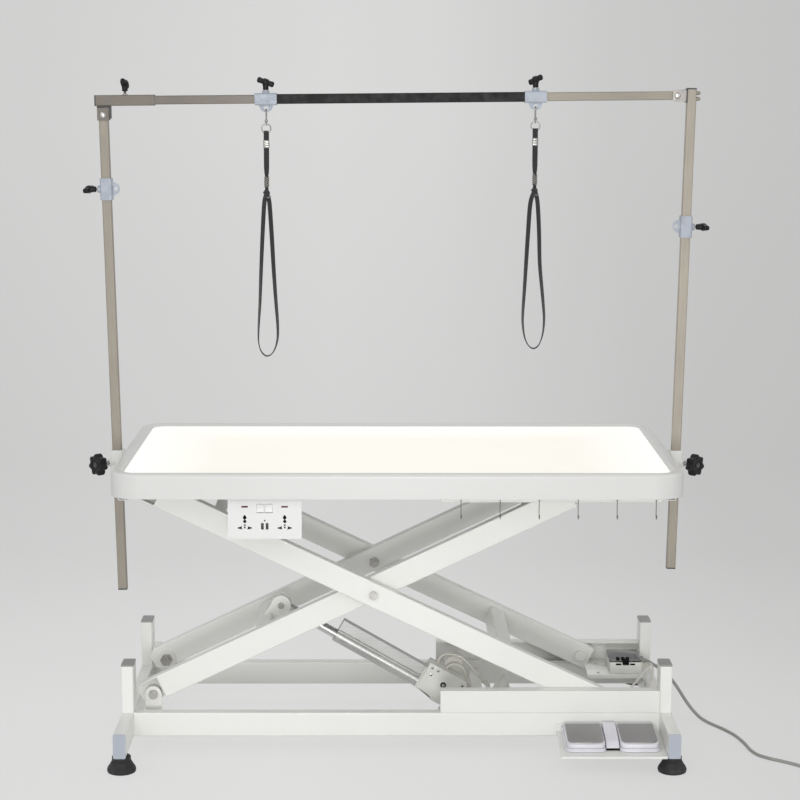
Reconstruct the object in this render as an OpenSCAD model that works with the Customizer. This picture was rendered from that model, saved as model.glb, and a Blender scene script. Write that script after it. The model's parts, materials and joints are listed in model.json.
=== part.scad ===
// Electric grooming table: a scissor lift on a tube base, a lit table top, and a two-post arch
// with two nooses. X runs along the table, Y from the front to the rear, Z up.
// The origin is on the floor, under the middle of the base.

/* [Base] */
// How far the table top overhangs the base frame at each end
base_inset = 4.5; // [2:0.5:12]
// Length of each foot beam, front to rear
beam_len = 676; // [560:1:800]
// Distance over the two long rails, front to rear
frame_d = 396; // [370:1:460]
// Narrow side of the frame tubes
tube_w = 25; // [20:1:30]
// Tall side of the frame tubes
tube_h = 50; // [40:1:60]
// Wall of the frame tubes
tube_wall = 2; // [1.5:0.5:3]
// Rounding of the frame tubes' edges
tube_r = 3; // [1:0.5:5]
// Height of the beams' undersides above the floor
beam_z = 37; // [34:1:50]
// Height of the stop posts above the beams
stop_h = 98; // [60:1:110]
// Depth of each stop post, front to rear
stop_d = 50; // [30:1:60]
// Thickness of the plastic tube caps
cap_t = 3; // [2:0.5:5]

/* [Feet] */
// Largest diameter of a levelling foot
foot_d = 58; // [44:1:70]
// Diameter of the foot's upper collar
foot_collar_d = 38; // [30:1:42]
// Distance of each foot's centre from its beam's end
foot_inset = 30; // [30:1:60]
// Diameter of the threaded stud
stud_d = 10; // [6:1:14]

/* [Lift] */
// How much shorter than the base frame a scissor arm is, pivot to pivot
arm_margin = 117; // [110:1:150]
// Slope of the arms as shown, in degrees
lift_angle = 25.5; // [15:0.5:40]
// Wall of the arm tubes
arm_wall = 2.5; // [2:0.5:4]
// Gap between an inner and an outer arm
arm_gap = 2; // [1.5:0.5:4]
// Gap between an outer arm and the rails
side_gap = 1; // [0.8:0.1:3]
// Distance of the fixed pivots from the stop posts
pivot_inset = 34.5; // [34:0.5:60]
// How far an arm runs past its fixed pivot
arm_tail = 30; // [24:1:32]
// How far an inner arm runs past its roller axle
inner_nose = 12; // [10:1:20]
// How far an outer arm runs past its roller axle
outer_nose = 22; // [10:1:24]
// Distance from the inner arms' thin cross tube to their roller axle
inner_brace_at = 144; // [120:1:180]
// Distance from the outer arms' thin cross tube to their fixed pivot
outer_brace_at = 150; // [120:1:180]
// Diameter of the pivot shafts
shaft_d = 16; // [12:1:18]
// Diameter of the centre pivot bolts
centre_bolt_d = 12; // [8:1:16]
// Thickness of the pivot lugs
lug_t = 6; // [4:1:8]
// Width of the pivot lugs
lug_w = 34; // [28:1:38]
// Diameter of the track rollers
roller_d = 40; // [30:1:44]
// Width of the track rollers
roller_w = 18; // [12:1:20]
// Sheet thickness of the roller tracks
track_wall = 3; // [2:0.5:4]
// Length of the roller tracks
track_len = 451; // [440:1:480]
// Rise of the inner arms' tubes above the line of their pivots
inner_rise = 7; // [0:0.5:8]
// Length left open at the inner arms' roller ends
inner_open = 53; // [45:1:60]
// Side of the arms' thin cross tubes
brace_w = 25; // [20:1:30]
// Side of the arms' strong cross tubes
cross_w = 34; // [30:1:40]
// Place of the actuator's upper pin along the inner arms
clevis_along = 302; // [290:1:310]
// Distance from the strong cross tube back to that pin
clevis_reach = 42; // [40:1:50]
// Height of the actuator's upper pin above the inner arms' middle line
clevis_up = 30; // [28:1:34]
// Place of the strong cross tube along the outer arms
outer_cross_along = 802; // [760:1:830]

/* [Actuator] */
// Distance from the fixed pivots to the actuator's lower pin along X
act_base_at = 619; // [616:1:626]
// Height of the actuator's lower pin
act_base_z = 60; // [56:1:64]
// Diameter of the push rod
rod_d = 21; // [16:1:22]
// Outer diameter of the actuator tube's round side
act_tube_d = 31; // [28:1:36]
// Height of the tube's flat back above the rod's axis
act_back_h = 37; // [30:1:40]
// Width of the tube's flat back
act_back_w = 24; // [18:1:28]
// Distance from the upper pin to the tube's mouth
mouth_at = 134; // [125:1:140]
// Length of the actuator tube
act_tube_len = 204; // [195:1:212]
// Width of the gear housing
gear_w = 44; // [38:1:46]
// Diameter of the actuator's pins
act_pin_d = 12; // [8:1:14]

/* [Table] */
// Length of the table top
table_w = 1140; // [1132:1:1180]
// Depth of the table top
table_d = 617; // [540:1:700]
// Height of the table's skirt
skirt_h = 50; // [48:1:60]
// Height of the rim's top above the upper pivots
rim_rise = 60.5; // [58:0.5:66]
// Corner radius of the table top
corner_r = 55; // [50:1:80]
// Width of the raised rim
rim_w = 26; // [20:1:34]
// Depth of the lit panel below the rim's top
rim_drop = 4.5; // [3:0.5:6]
// Rounding of the rim's outer edge
rim_r = 7; // [4:1:9]
// Wall of the skirt
skirt_wall = 5; // [3:0.5:6]
// Thickness of the lit panel
panel_t = 3; // [2:0.5:4]
// Height of the tubes under the table top
sub_h = 25; // [20:1:25]

/* [Arch] */
// Side of the square posts
post_w = 19; // [16:0.5:22]
// Wall of the square posts
post_wall = 1.5; // [1:0.5:2.5]
// Rounding of the posts' and bars' edges
post_r = 2; // [0.5:0.5:3]
// Distance of each post outside the table's end, where its socket holds it
post_out = 19.5; // [18:0.5:40]
// Outward lean of the posts, in degrees
post_lean = 1.2; // [0.5:0.1:2]
// Height of the left post's lower end
left_post_z = 302; // [280:1:330]
// Height of the right post's lower end
right_post_z = 348; // [320:1:370]
// Height of the crossbar's axis in the middle
bar_z = 1336.5; // [1280:0.5:1400]
// Slope of the crossbar, in degrees
bar_tilt = 0.6; // [0:0.1:1]
// Side of the crossbar
bar_w = 18; // [14:0.5:20]
// Side of the telescopic sleeve
sleeve_w = 22; // [20.5:0.5:24]
// Length of the telescopic sleeve
sleeve_len = 120; // [90:1:160]
// Length of the black grip on the crossbar
grip_len = 509; // [400:1:520]
// Middle of the grip along the crossbar
bar_mid = 7; // [-20:0.5:20]
// Wall of the grip
grip_t = 1; // [0.8:0.1:2]
// Height of the sockets that hold the posts
socket_h = 44; // [36:1:50]
// Wall of the sockets
socket_wall = 3.2; // [2.5:0.1:4]
// Diameter of the star knobs
star_d = 47; // [36:1:56]
// Thickness of the bent metal brackets
bracket_t = 2.5; // [2:0.5:3]

/* [Sliders and nooses] */
// Length of a slider along its tube
slider_len = 45; // [36:1:50]
// Side of a slider's body
slider_w = 25; // [25:0.5:30]
// Rounding of a slider's edges
slider_r = 4; // [2:0.5:5]
// Radius of a slider's eye lobe
lobe_r = 14; // [12:0.5:16]
// Thickness of a slider's eye lobe
lobe_t = 5; // [4:0.5:6]
// Distance of the eye hole from the tube's axis
eye_at = 19; // [18:0.5:21]
// Diameter of the eye hole
eye_d = 8.4; // [8.4:0.1:9]
// Span of a wing knob
wing_span = 36; // [28:1:42]
// Thickness of a wing knob's cross bar
wing_t = 10; // [7:0.5:12]
// Height of the cross bar's middle above the knob's foot
wing_at = 13; // [12:0.5:18]
// Slant of the cross bar, in degrees
wing_tilt = 20; // [0:1:25]
// Distance from the sleeve's outer end to its wing knob
sleeve_knob_at = 59; // [20:1:100]
// Height of the left post's slider
left_slider_z = 1149; // [900:1:1160]
// Height of the right post's slider
right_slider_z = 1073; // [900:1:1200]
// Drop of a noose from its eye to its lowest point
noose_drop = 514; // [440:1:560]
// Greatest width of a noose
noose_w = 42; // [30:1:60]
// Width of the noose strap
strap_w = 11; // [8:1:14]
// Thickness of the noose strap
strap_t = 2.4; // [1.8:0.1:3]

/* [Controls] */
// Width of the power socket plate
plate_w = 146; // [120:1:160]
// Height of the power socket plate
plate_h = 82; // [76:1:90]
// Middle of the power socket plate along X
plate_x = -262.5; // [-300:0.5:-200]
// Depth of the socket box behind the plate
plate_box_d = 34; // [24:1:40]
// Width of the pedal tray
tray_w = 213; // [205:1:230]
// Width of one pedal
pedal_w = 82; // [76:1:84]
// Distance from the pedals' front to the tray's front edge
pedal_front = 24; // [20:1:34]
// Width of the bridge between the pedals
bridge_w = 26; // [20:1:30]
// Width of the control box
control_w = 70; // [60:1:74]
// Depth of the control box, front to rear
control_d = 88; // [70:1:90]
// Height of the control box
control_h = 30; // [24:1:36]
// Number of tool hooks under the front of the skirt
hook_count = 6; // [2:1:7]
// Place of the first tool hook along X
hook_x = 125; // [110:1:150]
// Distance from one tool hook to the next
hook_pitch = 77; // [50:1:80]
// Length of a tool hook
hook_len = 40; // [30:1:50]
// Wire diameter of the tool hooks
hook_wire = 1.6; // [1.2:0.1:2.2]

/* [Cord] */
// Diameter of the cables between the control box and the foot switch
cable_d = 5; // [4:0.5:6]
// Diameter of the power cord
cord_d = 7; // [6:0.5:8]

/* [Fits] */
// Radial clearance of the running pins
pin_play = 0.05; // [0.02:0.01:0.1]
// Gap between pieces that slide or sit close
slide_gap = 0.3; // [0.2:0.05:0.6]

/* [Hidden] */
$fn = 48;
cut = 1;
hex = 6;

// Base frame
beam_top = beam_z + tube_h;
base_w = table_w - 2 * base_inset;
beam_x = (base_w - tube_w) / 2;
inner_x = base_w / 2 - tube_w;
rail_out = frame_d / 2;
rail_in = rail_out - tube_w;
stop_z = beam_top + stop_h;
foot_y = beam_len / 2 - foot_inset;
foot_gap = 1;

// Scissor lift
arm_len = base_w - arm_margin;
shaft_r = shaft_d / 2;
bore_r = shaft_r + pin_play;
track_h = roller_d + 2 * slide_gap + 2 * track_wall;
pivot_x = -(inner_x - pivot_inset);
pivot_z = beam_top + track_h / 2;
top_pivot_z = pivot_z + arm_len * sin(lift_angle);
roller_x = pivot_x + arm_len * cos(lift_angle);
outer_arm_out = rail_in - side_gap;
outer_arm_in = outer_arm_out - tube_w;
inner_arm_out = outer_arm_in - arm_gap;
inner_arm_in = inner_arm_out - tube_w;
lug_clear = lug_w / 2 + 5;
lug_set = 1;
lug_r = lug_w / 2;
boss_r = 20;
boss_t = 6;
collar_t = 7.5;
collar_r = 12;
head_r = shaft_r + 1.5;
head_t = 6.5;
nut_t = 8;
nut_gap = 0.5;
nut_r = shaft_r + 5.5;
end_chamfer = 12;
lug_foot_t = 8;
lug_foot_drop = track_h / 2 + 31;
brace_inner_along = arm_len - inner_brace_at;
act_base_x = pivot_x + act_base_at;

// Actuator, drawn along its own axis from the upper pin
clevis = [pivot_x + clevis_along * cos(lift_angle) - clevis_up * sin(lift_angle),
          pivot_z + clevis_along * sin(lift_angle) + clevis_up * cos(lift_angle)];
act_run = [act_base_x - clevis[0], clevis[1] - act_base_z];
act_angle = atan2(act_run[1], act_run[0]);
act_len = norm(act_run);
act_pin_r = act_pin_d / 2;
rod_end_at = 298;
gear_at = mouth_at + act_tube_len;
gear_low = 12;
gear_high = 52;
motor_r = 21;
motor_len = 48;
motor_at = [392, 62];
gear_end = act_len + 26;
clevis_t = 6;
clevis_r = 21;
eye_w = 22;
cheek_t = 6;
fork_reach = 22;
fork_low = 29;
fork_up = 14;
fork_bar = 6;
cheek_gap = 4;
act_cross_x = act_base_x + 48;
act_cross_z = beam_top - 12;

// Table
rim_z = top_pivot_z + rim_rise;
skirt_z = rim_z - skirt_h;
deck_z = top_pivot_z + sub_h + 10.5;
sub_z = deck_z - sub_h;
sub_x = table_w / 2 - skirt_wall - 0.5;
panel_z = rim_z - rim_drop - panel_t;

// Arch
end_x = table_w / 2;
post_x = end_x + post_out;
socket_top = skirt_z + socket_h;
hole_w = post_w + 2 * slide_gap;
socket_w = hole_w + 2 * socket_wall;
lean_z = socket_top - socket_h / 2;
bar_end = post_x + (bar_z - lean_z) * tan(post_lean) - post_w / 2 - bracket_t - 6;
sleeve_end = post_x + (bar_z - lean_z) * tan(post_lean) + post_w / 2 + 4;
sleeve_start = sleeve_end - sleeve_len;
bar_start = sleeve_end - 28;
left_top_z = bar_z - post_x * sin(bar_tilt) - sleeve_w / 2 - bracket_t - 5;
right_top_z = bar_z + post_x * sin(bar_tilt) + 12.5;
flap_w = 24;
slider_x = grip_len / 2 + slider_len / 2 + 0.5;
knob_screw_r = 3;
ring_at = 41;
ring_r = 9.4;
fold_at = 49.5;
fold_r = 2.8;
clamp_at = 65;
clamp_h = 15;
spring_turns = 5;
spring_pitch = 4.3;
spring_at = 140.8;
neck_start = spring_at - 5;
neck_end = spring_at + spring_pitch * spring_turns + 8;
knob_at = slider_w / 2 + 9;

// Power socket plate
plate_y = -(table_d / 2 - 22);
plate_t = 8;
pin_x = 39.5;
lamp_low = 19;
rocker_low = 29.7;
usb_low = 63.2;
dot_low = 45;
rocker_w = 15;
rocker_h = 18;
rocker_axle = 4;

// Foot switch
tray_x = inner_x - tray_w / 2;
tray_slope = 4.5;
tray_t = 2;
tray_rear_z = beam_z + 13;
tray_len = (beam_len / 2 - rail_out) / cos(tray_slope);
pedal_x = bridge_w / 2 + 1 + pedal_w / 2;
pedal_rear = 10;
pedal_d = tray_len - pedal_rear - pedal_front;
pedal_hinge_z = 8;
switch_base_t = 4;

// Control box on its shelf
shelf_z = beam_top + 11;
shelf_t = 2;
control_y = 89;
control_x = inner_x - 7 - control_w / 2;
lid_t = 4;
shelf_side = 48;
socket_out = 5;
SOCKETS_X = [14, 47, 61];

// Power cord: points on the floor and in the air, chosen by hand
gland_len = 30.5;
gland_x = control_x + control_w / 2;
cord_y = 100;
cord_z = shelf_z + 20;
gland_tilt = 24;
cord_r = cord_d / 2;
cable_r = cable_d / 2;
cord_start = [gland_x + gland_len * cos(gland_tilt), cord_y,
              cord_z - gland_len * sin(gland_tilt)];
cord_end = [base_w / 2 + 279.5, -360, cord_r];
CORD_DROP = [
    [8.5, -1.4, 98.6], [22.5, -5.5, 89.2], [35.5, -13, 77.6], [47.5, -22.5, 63.2],
    [58.5, -34, 47], [69.5, -47.5, 31], [81.5, -63, 17.2], [94.5, -82, 7.2], [107.5, -103, 3.8]
];
CORD_LAY = [
    [120.5, -126], [135.5, -154], [151.5, -194], [161.5, -243], [166.5, -284], [175.5, -315],
    [194.5, -338], [220.5, -358.5], [246.5, -382], [268.5, -410], [278.5, -440], [279.5, -459.5]
];
CORD_ROUTE = concat([cord_start],
                    [for (p = CORD_DROP) [base_w / 2 + p[0], cord_y + p[1], p[2]]],
                    [for (p = CORD_LAY) [base_w / 2 + p[0], cord_y + p[1], cord_r]]);
coil_turns = 5;
coil_out_r = 51;
coil_pitch = cord_d + 0.6;
coil_in_r = coil_out_r - coil_pitch * coil_turns / 2;
coil_c = [cord_end[0] + coil_out_r, cord_end[1]];
coil_rings = 24;

// Small helpers
module span(lo, hi) {
    translate(lo) cube(hi - lo);
}

// A cylinder along Y between two places
module y_rod(x, z, y0, y1, r) {
    translate([x, min(y0, y1), z]) rotate([-90, 0, 0]) cylinder(r = r, h = abs(y1 - y0));
}

// A six-sided nut or head along Y
module y_hex(x, z, y0, y1, r) {
    translate([x, min(y0, y1), z]) rotate([-90, 0, 0]) cylinder(r = r, h = abs(y1 - y0), $fn = hex);
}

module both_sides() {
    children();
    mirror([0, 1, 0]) children();
}

module both_ends() {
    children();
    mirror([1, 0, 0]) children();
}

module rounded_rect(w, d, r) {
    square([w - 2 * r, d], center = true);
    square([w, d - 2 * r], center = true);
    for (x = [-1, 1], y = [-1, 1])
        translate([x * (w / 2 - r), y * (d / 2 - r)]) circle(r = r);
}

// A bar with rounded edges between two corners, along axis 0, 1 or 2; r = 0 leaves it square
module round_bar(lo, hi, axis, r) {
    size = hi - lo;
    if (r > 0)
        translate((lo + hi) / 2)
            rotate(axis == 0 ? [90, 0, 90] : axis == 1 ? [90, 0, 0] : [0, 0, 0])
                linear_extrude(size[axis], center = true)
                    rounded_rect(axis == 0 ? size[1] : size[0], axis == 2 ? size[1] : size[2], r);
    else
        span(lo, hi);
}

// The base's tubes: the outside, or with a wall given the hollow inside them
module base_tubes(wall) {
    r = wall > 0 ? 0 : tube_r;
    open = wall > 0 ? cut : 0;
    reach = wall > 0 ? 2 * tube_wall : 0.5;
    both_ends() {
        round_bar([inner_x + wall, -beam_len / 2 - open, beam_z + wall],
                  [base_w / 2 - wall, beam_len / 2 + open, beam_top - wall], 1, r);
        both_sides()
            round_bar([inner_x + wall, rail_out - stop_d + wall, beam_top - max(reach, r)],
                      [base_w / 2 - wall, rail_out - wall, stop_z + open], 2, r);
    }
    both_sides()
        round_bar([-inner_x - max(reach, r), rail_in + wall, beam_z + wall],
                  [inner_x + max(reach, r), rail_out - wall, beam_top - wall], 0, r);
    round_bar([act_cross_x + wall, -rail_in - max(reach, r), beam_z + wall],
              [act_cross_x + tube_w - wall, rail_in + max(reach, r), act_cross_z - wall], 1, r);
}

// A lug that stands on a foot plate; its bore is at the origin and the foot is 'drop' below
module pivot_lug(y_in, y_wall, drop) {
    difference() {
        union() {
            translate([0, y_in + lug_t, 0]) rotate([90, 0, 0]) linear_extrude(lug_t) {
                circle(r = lug_r);
                translate([-lug_r, -drop]) square([lug_w, drop]);
            }
            span([-lug_r - 3, y_in, -drop], [lug_r + 3, y_wall + 0.5, -drop + lug_foot_t]);
        }
        y_rod(0, 0, y_in - cut, y_in + lug_t + cut, bore_r);
    }
}

module base_frame() {
    color([0.90, 0.90, 0.88]) {
        difference() {
            base_tubes(0);
            base_tubes(tube_wall);
            both_ends() both_sides()
                translate([beam_x, foot_y, beam_z - cut])
                    cylinder(r = stud_d / 2 + pin_play, h = tube_wall + 2 * cut);
        }
        both_sides()
            translate([pivot_x, 0, pivot_z])
                pivot_lug(inner_arm_out - lug_set - lug_t, rail_in, lug_foot_drop);
    }
}

// A C-shaped track, open towards the middle; y_out is its web's outer face
module track(y_out, depth) {
    difference() {
        span([0, y_out - depth, 0], [track_len, y_out, track_h]);
        span([-cut, y_out - depth - cut, track_wall],
             [track_len + cut, y_out - track_wall, track_h - track_wall]);
    }
}

module base_tracks() {
    color([0.89, 0.89, 0.87])
        both_sides()
            translate([inner_x - track_len, 0, beam_top]) track(rail_out, tube_w);
}

module cap_plug(w, d) {
    g = tube_wall + slide_gap;
    linear_extrude(cap_t) rounded_rect(w, d, tube_r);
    translate([-w / 2 + g, -d / 2 + g, -8]) cube([w - 2 * g, d - 2 * g, 8 + cut]);
}

module tube_end_caps() {
    color([0.65, 0.69, 0.76]) both_ends() both_sides() {
        translate([beam_x, beam_len / 2, beam_z + tube_h / 2]) rotate([-90, 0, 0])
            cap_plug(tube_w, tube_h);
        translate([beam_x, rail_out - stop_d / 2, stop_z]) cap_plug(tube_w, stop_d);
    }
}

// A headed pivot shaft with its nut; it runs inwards from the lug's outer face
module pivot_bolt(y_out, y_boss) {
    y_rod(0, 0, y_boss - nut_gap - nut_t - 5, y_out + 0.3, shaft_r);
    y_rod(0, 0, y_out + 0.3, y_out + head_t - 2, head_r);
    y_rod(0, 0, y_out + head_t - 2, y_out + head_t, head_r - 2);
    difference() {
        y_hex(0, 0, y_boss - nut_gap - nut_t, y_boss - nut_gap, nut_r);
        y_rod(0, 0, y_boss - nut_gap - nut_t - cut, y_boss - nut_gap + cut, shaft_r - 0.5);
    }
}

module lower_pivot_bolts() {
    color([0.80, 0.80, 0.78])
        both_sides() translate([pivot_x, 0, pivot_z])
            pivot_bolt(inner_arm_out - lug_set, inner_arm_in - boss_t);
}

module upper_pivot_bolts() {
    color([0.80, 0.80, 0.78])
        both_sides() translate([pivot_x, 0, top_pivot_z])
            pivot_bolt(outer_arm_out - lug_set, outer_arm_in - boss_t);
}

// Two forks that reach back from the cross tube and leave the lower pin room
module actuator_bracket() {
    y_in = gear_w / 2 + cheek_gap;
    x0 = act_base_x - fork_reach;
    color([0.88, 0.88, 0.86])
        both_sides() difference() {
            span([x0, y_in, fork_low - fork_bar],
                 [act_cross_x, y_in + cheek_t, act_base_z + fork_up + fork_bar]);
            span([x0 - cut, y_in - cut, fork_low],
                 [act_base_x + fork_up, y_in + cheek_t + cut, act_base_z + fork_up]);
        }
}

// A rubber bell with a collar and a stud that ends inside the beam
module levelling_foot() {
    r = foot_d / 2;
    rc = foot_collar_d / 2;
    top = beam_z - foot_gap;
    color([0.13, 0.13, 0.13])
        rotate_extrude() polygon([
            [0, 0], [r - 3, 0], [r - 1, 1], [r, 4], [r, 7], [r - 1.5, 11], [r - 5, 16],
            [rc + 1, 23], [rc - 0.5, 25], [rc, 26.5], [rc, top - 4], [rc - 1.5, top - 2.5],
            [stud_d / 2 + 5, top - 2.5], [stud_d / 2 + 5, top], [0, top]
        ]);
    color([0.7, 0.7, 0.7])
        translate([0, 0, top]) cylinder(r = stud_d / 2, h = foot_gap + tube_wall + 20);
}

module foot_at(sx, sy) {
    translate([sx * beam_x, sy * foot_y, 0]) levelling_foot();
}

module foot_front_left() { foot_at(-1, -1); }
module foot_front_right() { foot_at(1, -1); }
module foot_rear_left() { foot_at(-1, 1); }
module foot_rear_right() { foot_at(1, 1); }

// One arm along +X from its fixed pivot; keep is 1 when the arm's upper wall stays at the lug
module scissor_arm(y_in, keep, rise) {
    low = rise - tube_h / 2;
    high = rise + tube_h / 2;
    tail = arm_tail;
    end = arm_len + (keep > 0 ? inner_nose : outer_nose);
    y_out = y_in + tube_w;
    bolt_r = centre_bolt_d / 2 + pin_play;
    difference() {
        union() {
            difference() {
                round_bar([-tail, y_in, low], [end, y_out, high], 0, tube_r);
                span([-tail - cut, y_in + arm_wall, low + arm_wall],
                     [end + cut, y_out - arm_wall, high - arm_wall]);
                span([-tail - cut, y_in + arm_wall, keep > 0 ? low - cut : low + arm_wall],
                     [lug_clear, y_out + cut, keep > 0 ? high - arm_wall : high + cut]);
                if (keep > 0)
                    span([arm_len - inner_open, y_in + arm_wall, low - cut],
                         [end + cut, y_out + cut, high - arm_wall]);
                for (z = [low, high])
                    translate([-tail, y_in - cut, z]) rotate([0, 45, 0])
                        translate([-end_chamfer / sqrt(2), 0, -end_chamfer / sqrt(2)])
                            cube([end_chamfer * sqrt(2), tube_w + 2 * cut,
                                  end_chamfer * sqrt(2)]);
            }
            y_rod(0, 0, y_in - boss_t, y_in + arm_wall, boss_r);
            y_rod(0, 0, y_in, y_out - lug_set - lug_t - slide_gap, collar_r);
            y_rod(arm_len / 2, 0, y_in, y_out, centre_bolt_d / 2 + 5);
            y_rod(arm_len, 0, y_in, y_out, collar_r);
        }
        y_rod(0, 0, y_in - boss_t - cut, y_out + cut, bore_r);
        y_rod(arm_len / 2, 0, y_in - cut, y_out + cut, bolt_r);
        y_rod(arm_len, 0, y_in - cut, y_out + cut, bore_r);
    }
}

// A square tube across the two arms, centred on their middle line, open at its ends
module cross_tube(along, w, y_in, rise) {
    translate([0, 0, rise]) difference() {
        round_bar([along - w / 2, -y_in - 0.5, -w / 2], [along + w / 2, y_in + 0.5, w / 2],
                  1, tube_r);
        span([along - w / 2 + tube_wall, -y_in - 2 * arm_wall, -w / 2 + tube_wall],
             [along + w / 2 - tube_wall, y_in + 2 * arm_wall, w / 2 - tube_wall]);
    }
}

module on_inner_arms() {
    translate([pivot_x, 0, pivot_z]) rotate([0, -lift_angle, 0]) children();
}

module on_outer_arms() {
    translate([pivot_x, 0, top_pivot_z]) rotate([0, lift_angle, 0]) children();
}

module clevis_plate() {
    y_in = eye_w / 2 + 1;
    back = cross_w / 2 - clevis_reach;
    top = inner_rise + cross_w / 2 - clevis_up;
    difference() {
        translate([clevis_along, y_in + clevis_t, clevis_up]) rotate([90, 0, 0])
            linear_extrude(clevis_t) {
                circle(r = clevis_r);
                polygon([[0, clevis_r], [2 - clevis_reach, top + 5], [2 - clevis_reach, top - 2],
                         [back - 2, top - 2], [back - 2, top - 28], [back, top - 28],
                         [0, -clevis_r]]);
            }
        y_rod(clevis_along, clevis_up, y_in - cut, y_in + clevis_t + cut, act_pin_r + pin_play);
    }
}

module inner_arms() {
    color([0.90, 0.90, 0.88]) on_inner_arms() {
        both_sides() {
            scissor_arm(inner_arm_in, 1, inner_rise);
            clevis_plate();
        }
        cross_tube(clevis_along - clevis_reach, cross_w, inner_arm_in, inner_rise);
        cross_tube(brace_inner_along, brace_w, inner_arm_in, inner_rise);
    }
}

// Centre pivot bolts, from the outer arms' faces into nuts, and the rod's clevis pin
module inner_arm_bolts() {
    r = centre_bolt_d / 2;
    color([0.72, 0.72, 0.70]) on_inner_arms() {
        both_sides() {
            y_rod(arm_len / 2, 0, inner_arm_in - nut_t - 3, outer_arm_out + 0.3, r);
            y_rod(arm_len / 2, 0, outer_arm_out + 0.3, outer_arm_out + 4.5, r + 3);
            y_rod(arm_len / 2, 0, outer_arm_out + 4.5, outer_arm_out + 6, r + 1);
            difference() {
                y_hex(arm_len / 2, 0, inner_arm_in - nut_t, inner_arm_in - 0.3, r + 5);
                y_rod(arm_len / 2, 0, inner_arm_in - nut_t - cut, inner_arm_in, r - 0.5);
            }
        }
        y_rod(clevis_along, clevis_up, -eye_w / 2 - clevis_t - 8, eye_w / 2 + clevis_t + 4,
              act_pin_r);
        y_rod(clevis_along, clevis_up, eye_w / 2 + clevis_t + 1.3, eye_w / 2 + clevis_t + 5,
              act_pin_r + 3);
    }
}

// A roller with its axle, which turns in the arm's end bush
module track_roller(y_face, y_back) {
    y_rod(0, 0, y_face, y_face + roller_w, roller_d / 2);
    y_rod(0, 0, y_back - slide_gap, y_face, shaft_r);
    y_rod(0, 0, y_back - collar_t, y_back - slide_gap, collar_r);
}

module lower_rollers() {
    color([0.86, 0.86, 0.83])
        both_sides() translate([roller_x, 0, pivot_z])
            track_roller(outer_arm_out + side_gap + 2.5, outer_arm_in);
}

module upper_rollers() {
    color([0.86, 0.86, 0.83])
        both_sides() translate([roller_x, 0, top_pivot_z])
            track_roller(inner_arm_out + arm_gap + 2.5, inner_arm_in);
}

module outer_arms() {
    color([0.91, 0.91, 0.89]) on_outer_arms() {
        both_sides() scissor_arm(outer_arm_in, -1, 0);
        cross_tube(outer_cross_along, cross_w, outer_arm_in, 0);
        cross_tube(outer_brace_at, brace_w, outer_arm_in, 0);
    }
}

// The actuator's own frame: X from the upper pin towards the lower one, Z to its back
module on_actuator() {
    translate([clevis[0], 0, clevis[1]]) rotate([0, act_angle, 0]) children();
}

module x_rod(x0, x1, z, r) {
    translate([x0, 0, z]) rotate([0, 90, 0]) cylinder(r = r, h = x1 - x0);
}

module actuator_rod() {
    color([0.70, 0.70, 0.69]) on_actuator() difference() {
        union() {
            y_rod(0, 0, -eye_w / 2, eye_w / 2, act_pin_r + 7);
            x_rod(4, rod_end_at, 0, rod_d / 2);
        }
        y_rod(0, 0, -rod_d, rod_d, act_pin_r + pin_play);
    }
}

module tube_profile(grow) {
    circle(r = act_tube_d / 2 + grow);
    translate([-act_back_w / 2 - grow, 0])
        square([act_back_w + 2 * grow, act_back_h + grow]);
}

// Extruded two-lobed aluminium tube with a chamfered groove along each side
module actuator_tube() {
    color([0.71, 0.71, 0.70]) on_actuator() difference() {
        translate([mouth_at, 0, 0]) rotate([90, 0, 90]) linear_extrude(act_tube_len)
            difference() {
                tube_profile(0);
                for (s = [-1, 1])
                    translate([s * (act_back_w / 2), act_tube_d / 2 - 1.5]) rotate(45)
                        square(2.4, center = true);
            }
        x_rod(mouth_at - cut, gear_at + cut, 0, rod_d / 2 + slide_gap);
    }
}

module actuator_gear_housing() {
    y = gear_w / 2;
    fork = eye_w / 2 + 1;
    color([0.86, 0.86, 0.83]) on_actuator() difference() {
        union() {
            translate([0, y, 0]) rotate([90, 0, 0]) linear_extrude(gear_w)
                polygon([
                    [gear_at + 0.3, -gear_low], [gear_at + 34, -gear_low - 3],
                    [gear_at + 41, -gear_low - 8], [act_len + 4, -gear_low - 8],
                    [gear_end, -8], [gear_end, gear_high - 24], [gear_end - 10, gear_high],
                    [gear_at + 0.3, gear_high]
                ]);
            y_rod(motor_at[0], motor_at[1], y - 1, y + motor_len - 6, motor_r);
            y_rod(motor_at[0], motor_at[1], y + motor_len - 7, y + motor_len, motor_r - 3);
            for (x = [gear_at + 18, gear_at + 30])
                y_rod(x, gear_high - 12, -y - 1.5, y + 1.5, 3);
        }
        x_rod(gear_at, gear_at + 48, 0, rod_d / 2 + slide_gap);
        y_rod(act_len, 0, -gear_w, gear_w, act_pin_r + pin_play);
    }
    for (k = [0, 1]) actuator_cable(k);
}

// The two cable loops that leave the housing's back and turn down again
module actuator_cable(k) {
    big = 24 - 10 * k;
    color([0.87, 0.86, 0.82])
        translate([clevis[0], 0, clevis[1]]) rotate([0, act_angle, 0])
            translate([gear_at + 32 + 8 * k, 7 - 14 * k, gear_high - 4]) rotate([90, 0, 0])
                rotate_extrude(angle = 180) translate([big, 0]) circle(r = 2.2, $fn = 16);
}

module actuator_lower_pin() {
    y = gear_w / 2 + cheek_gap + cheek_t;
    color([0.72, 0.72, 0.70]) on_actuator() {
        y_rod(act_len, 0, -y - 5, y + 5, act_pin_r);
        both_sides() difference() {
            y_rod(act_len, 0, y + 1, y + 4, act_pin_r + 4);
            y_rod(act_len, 0, y, y + 5, act_pin_r - 0.5);
        }
    }
}

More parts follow.
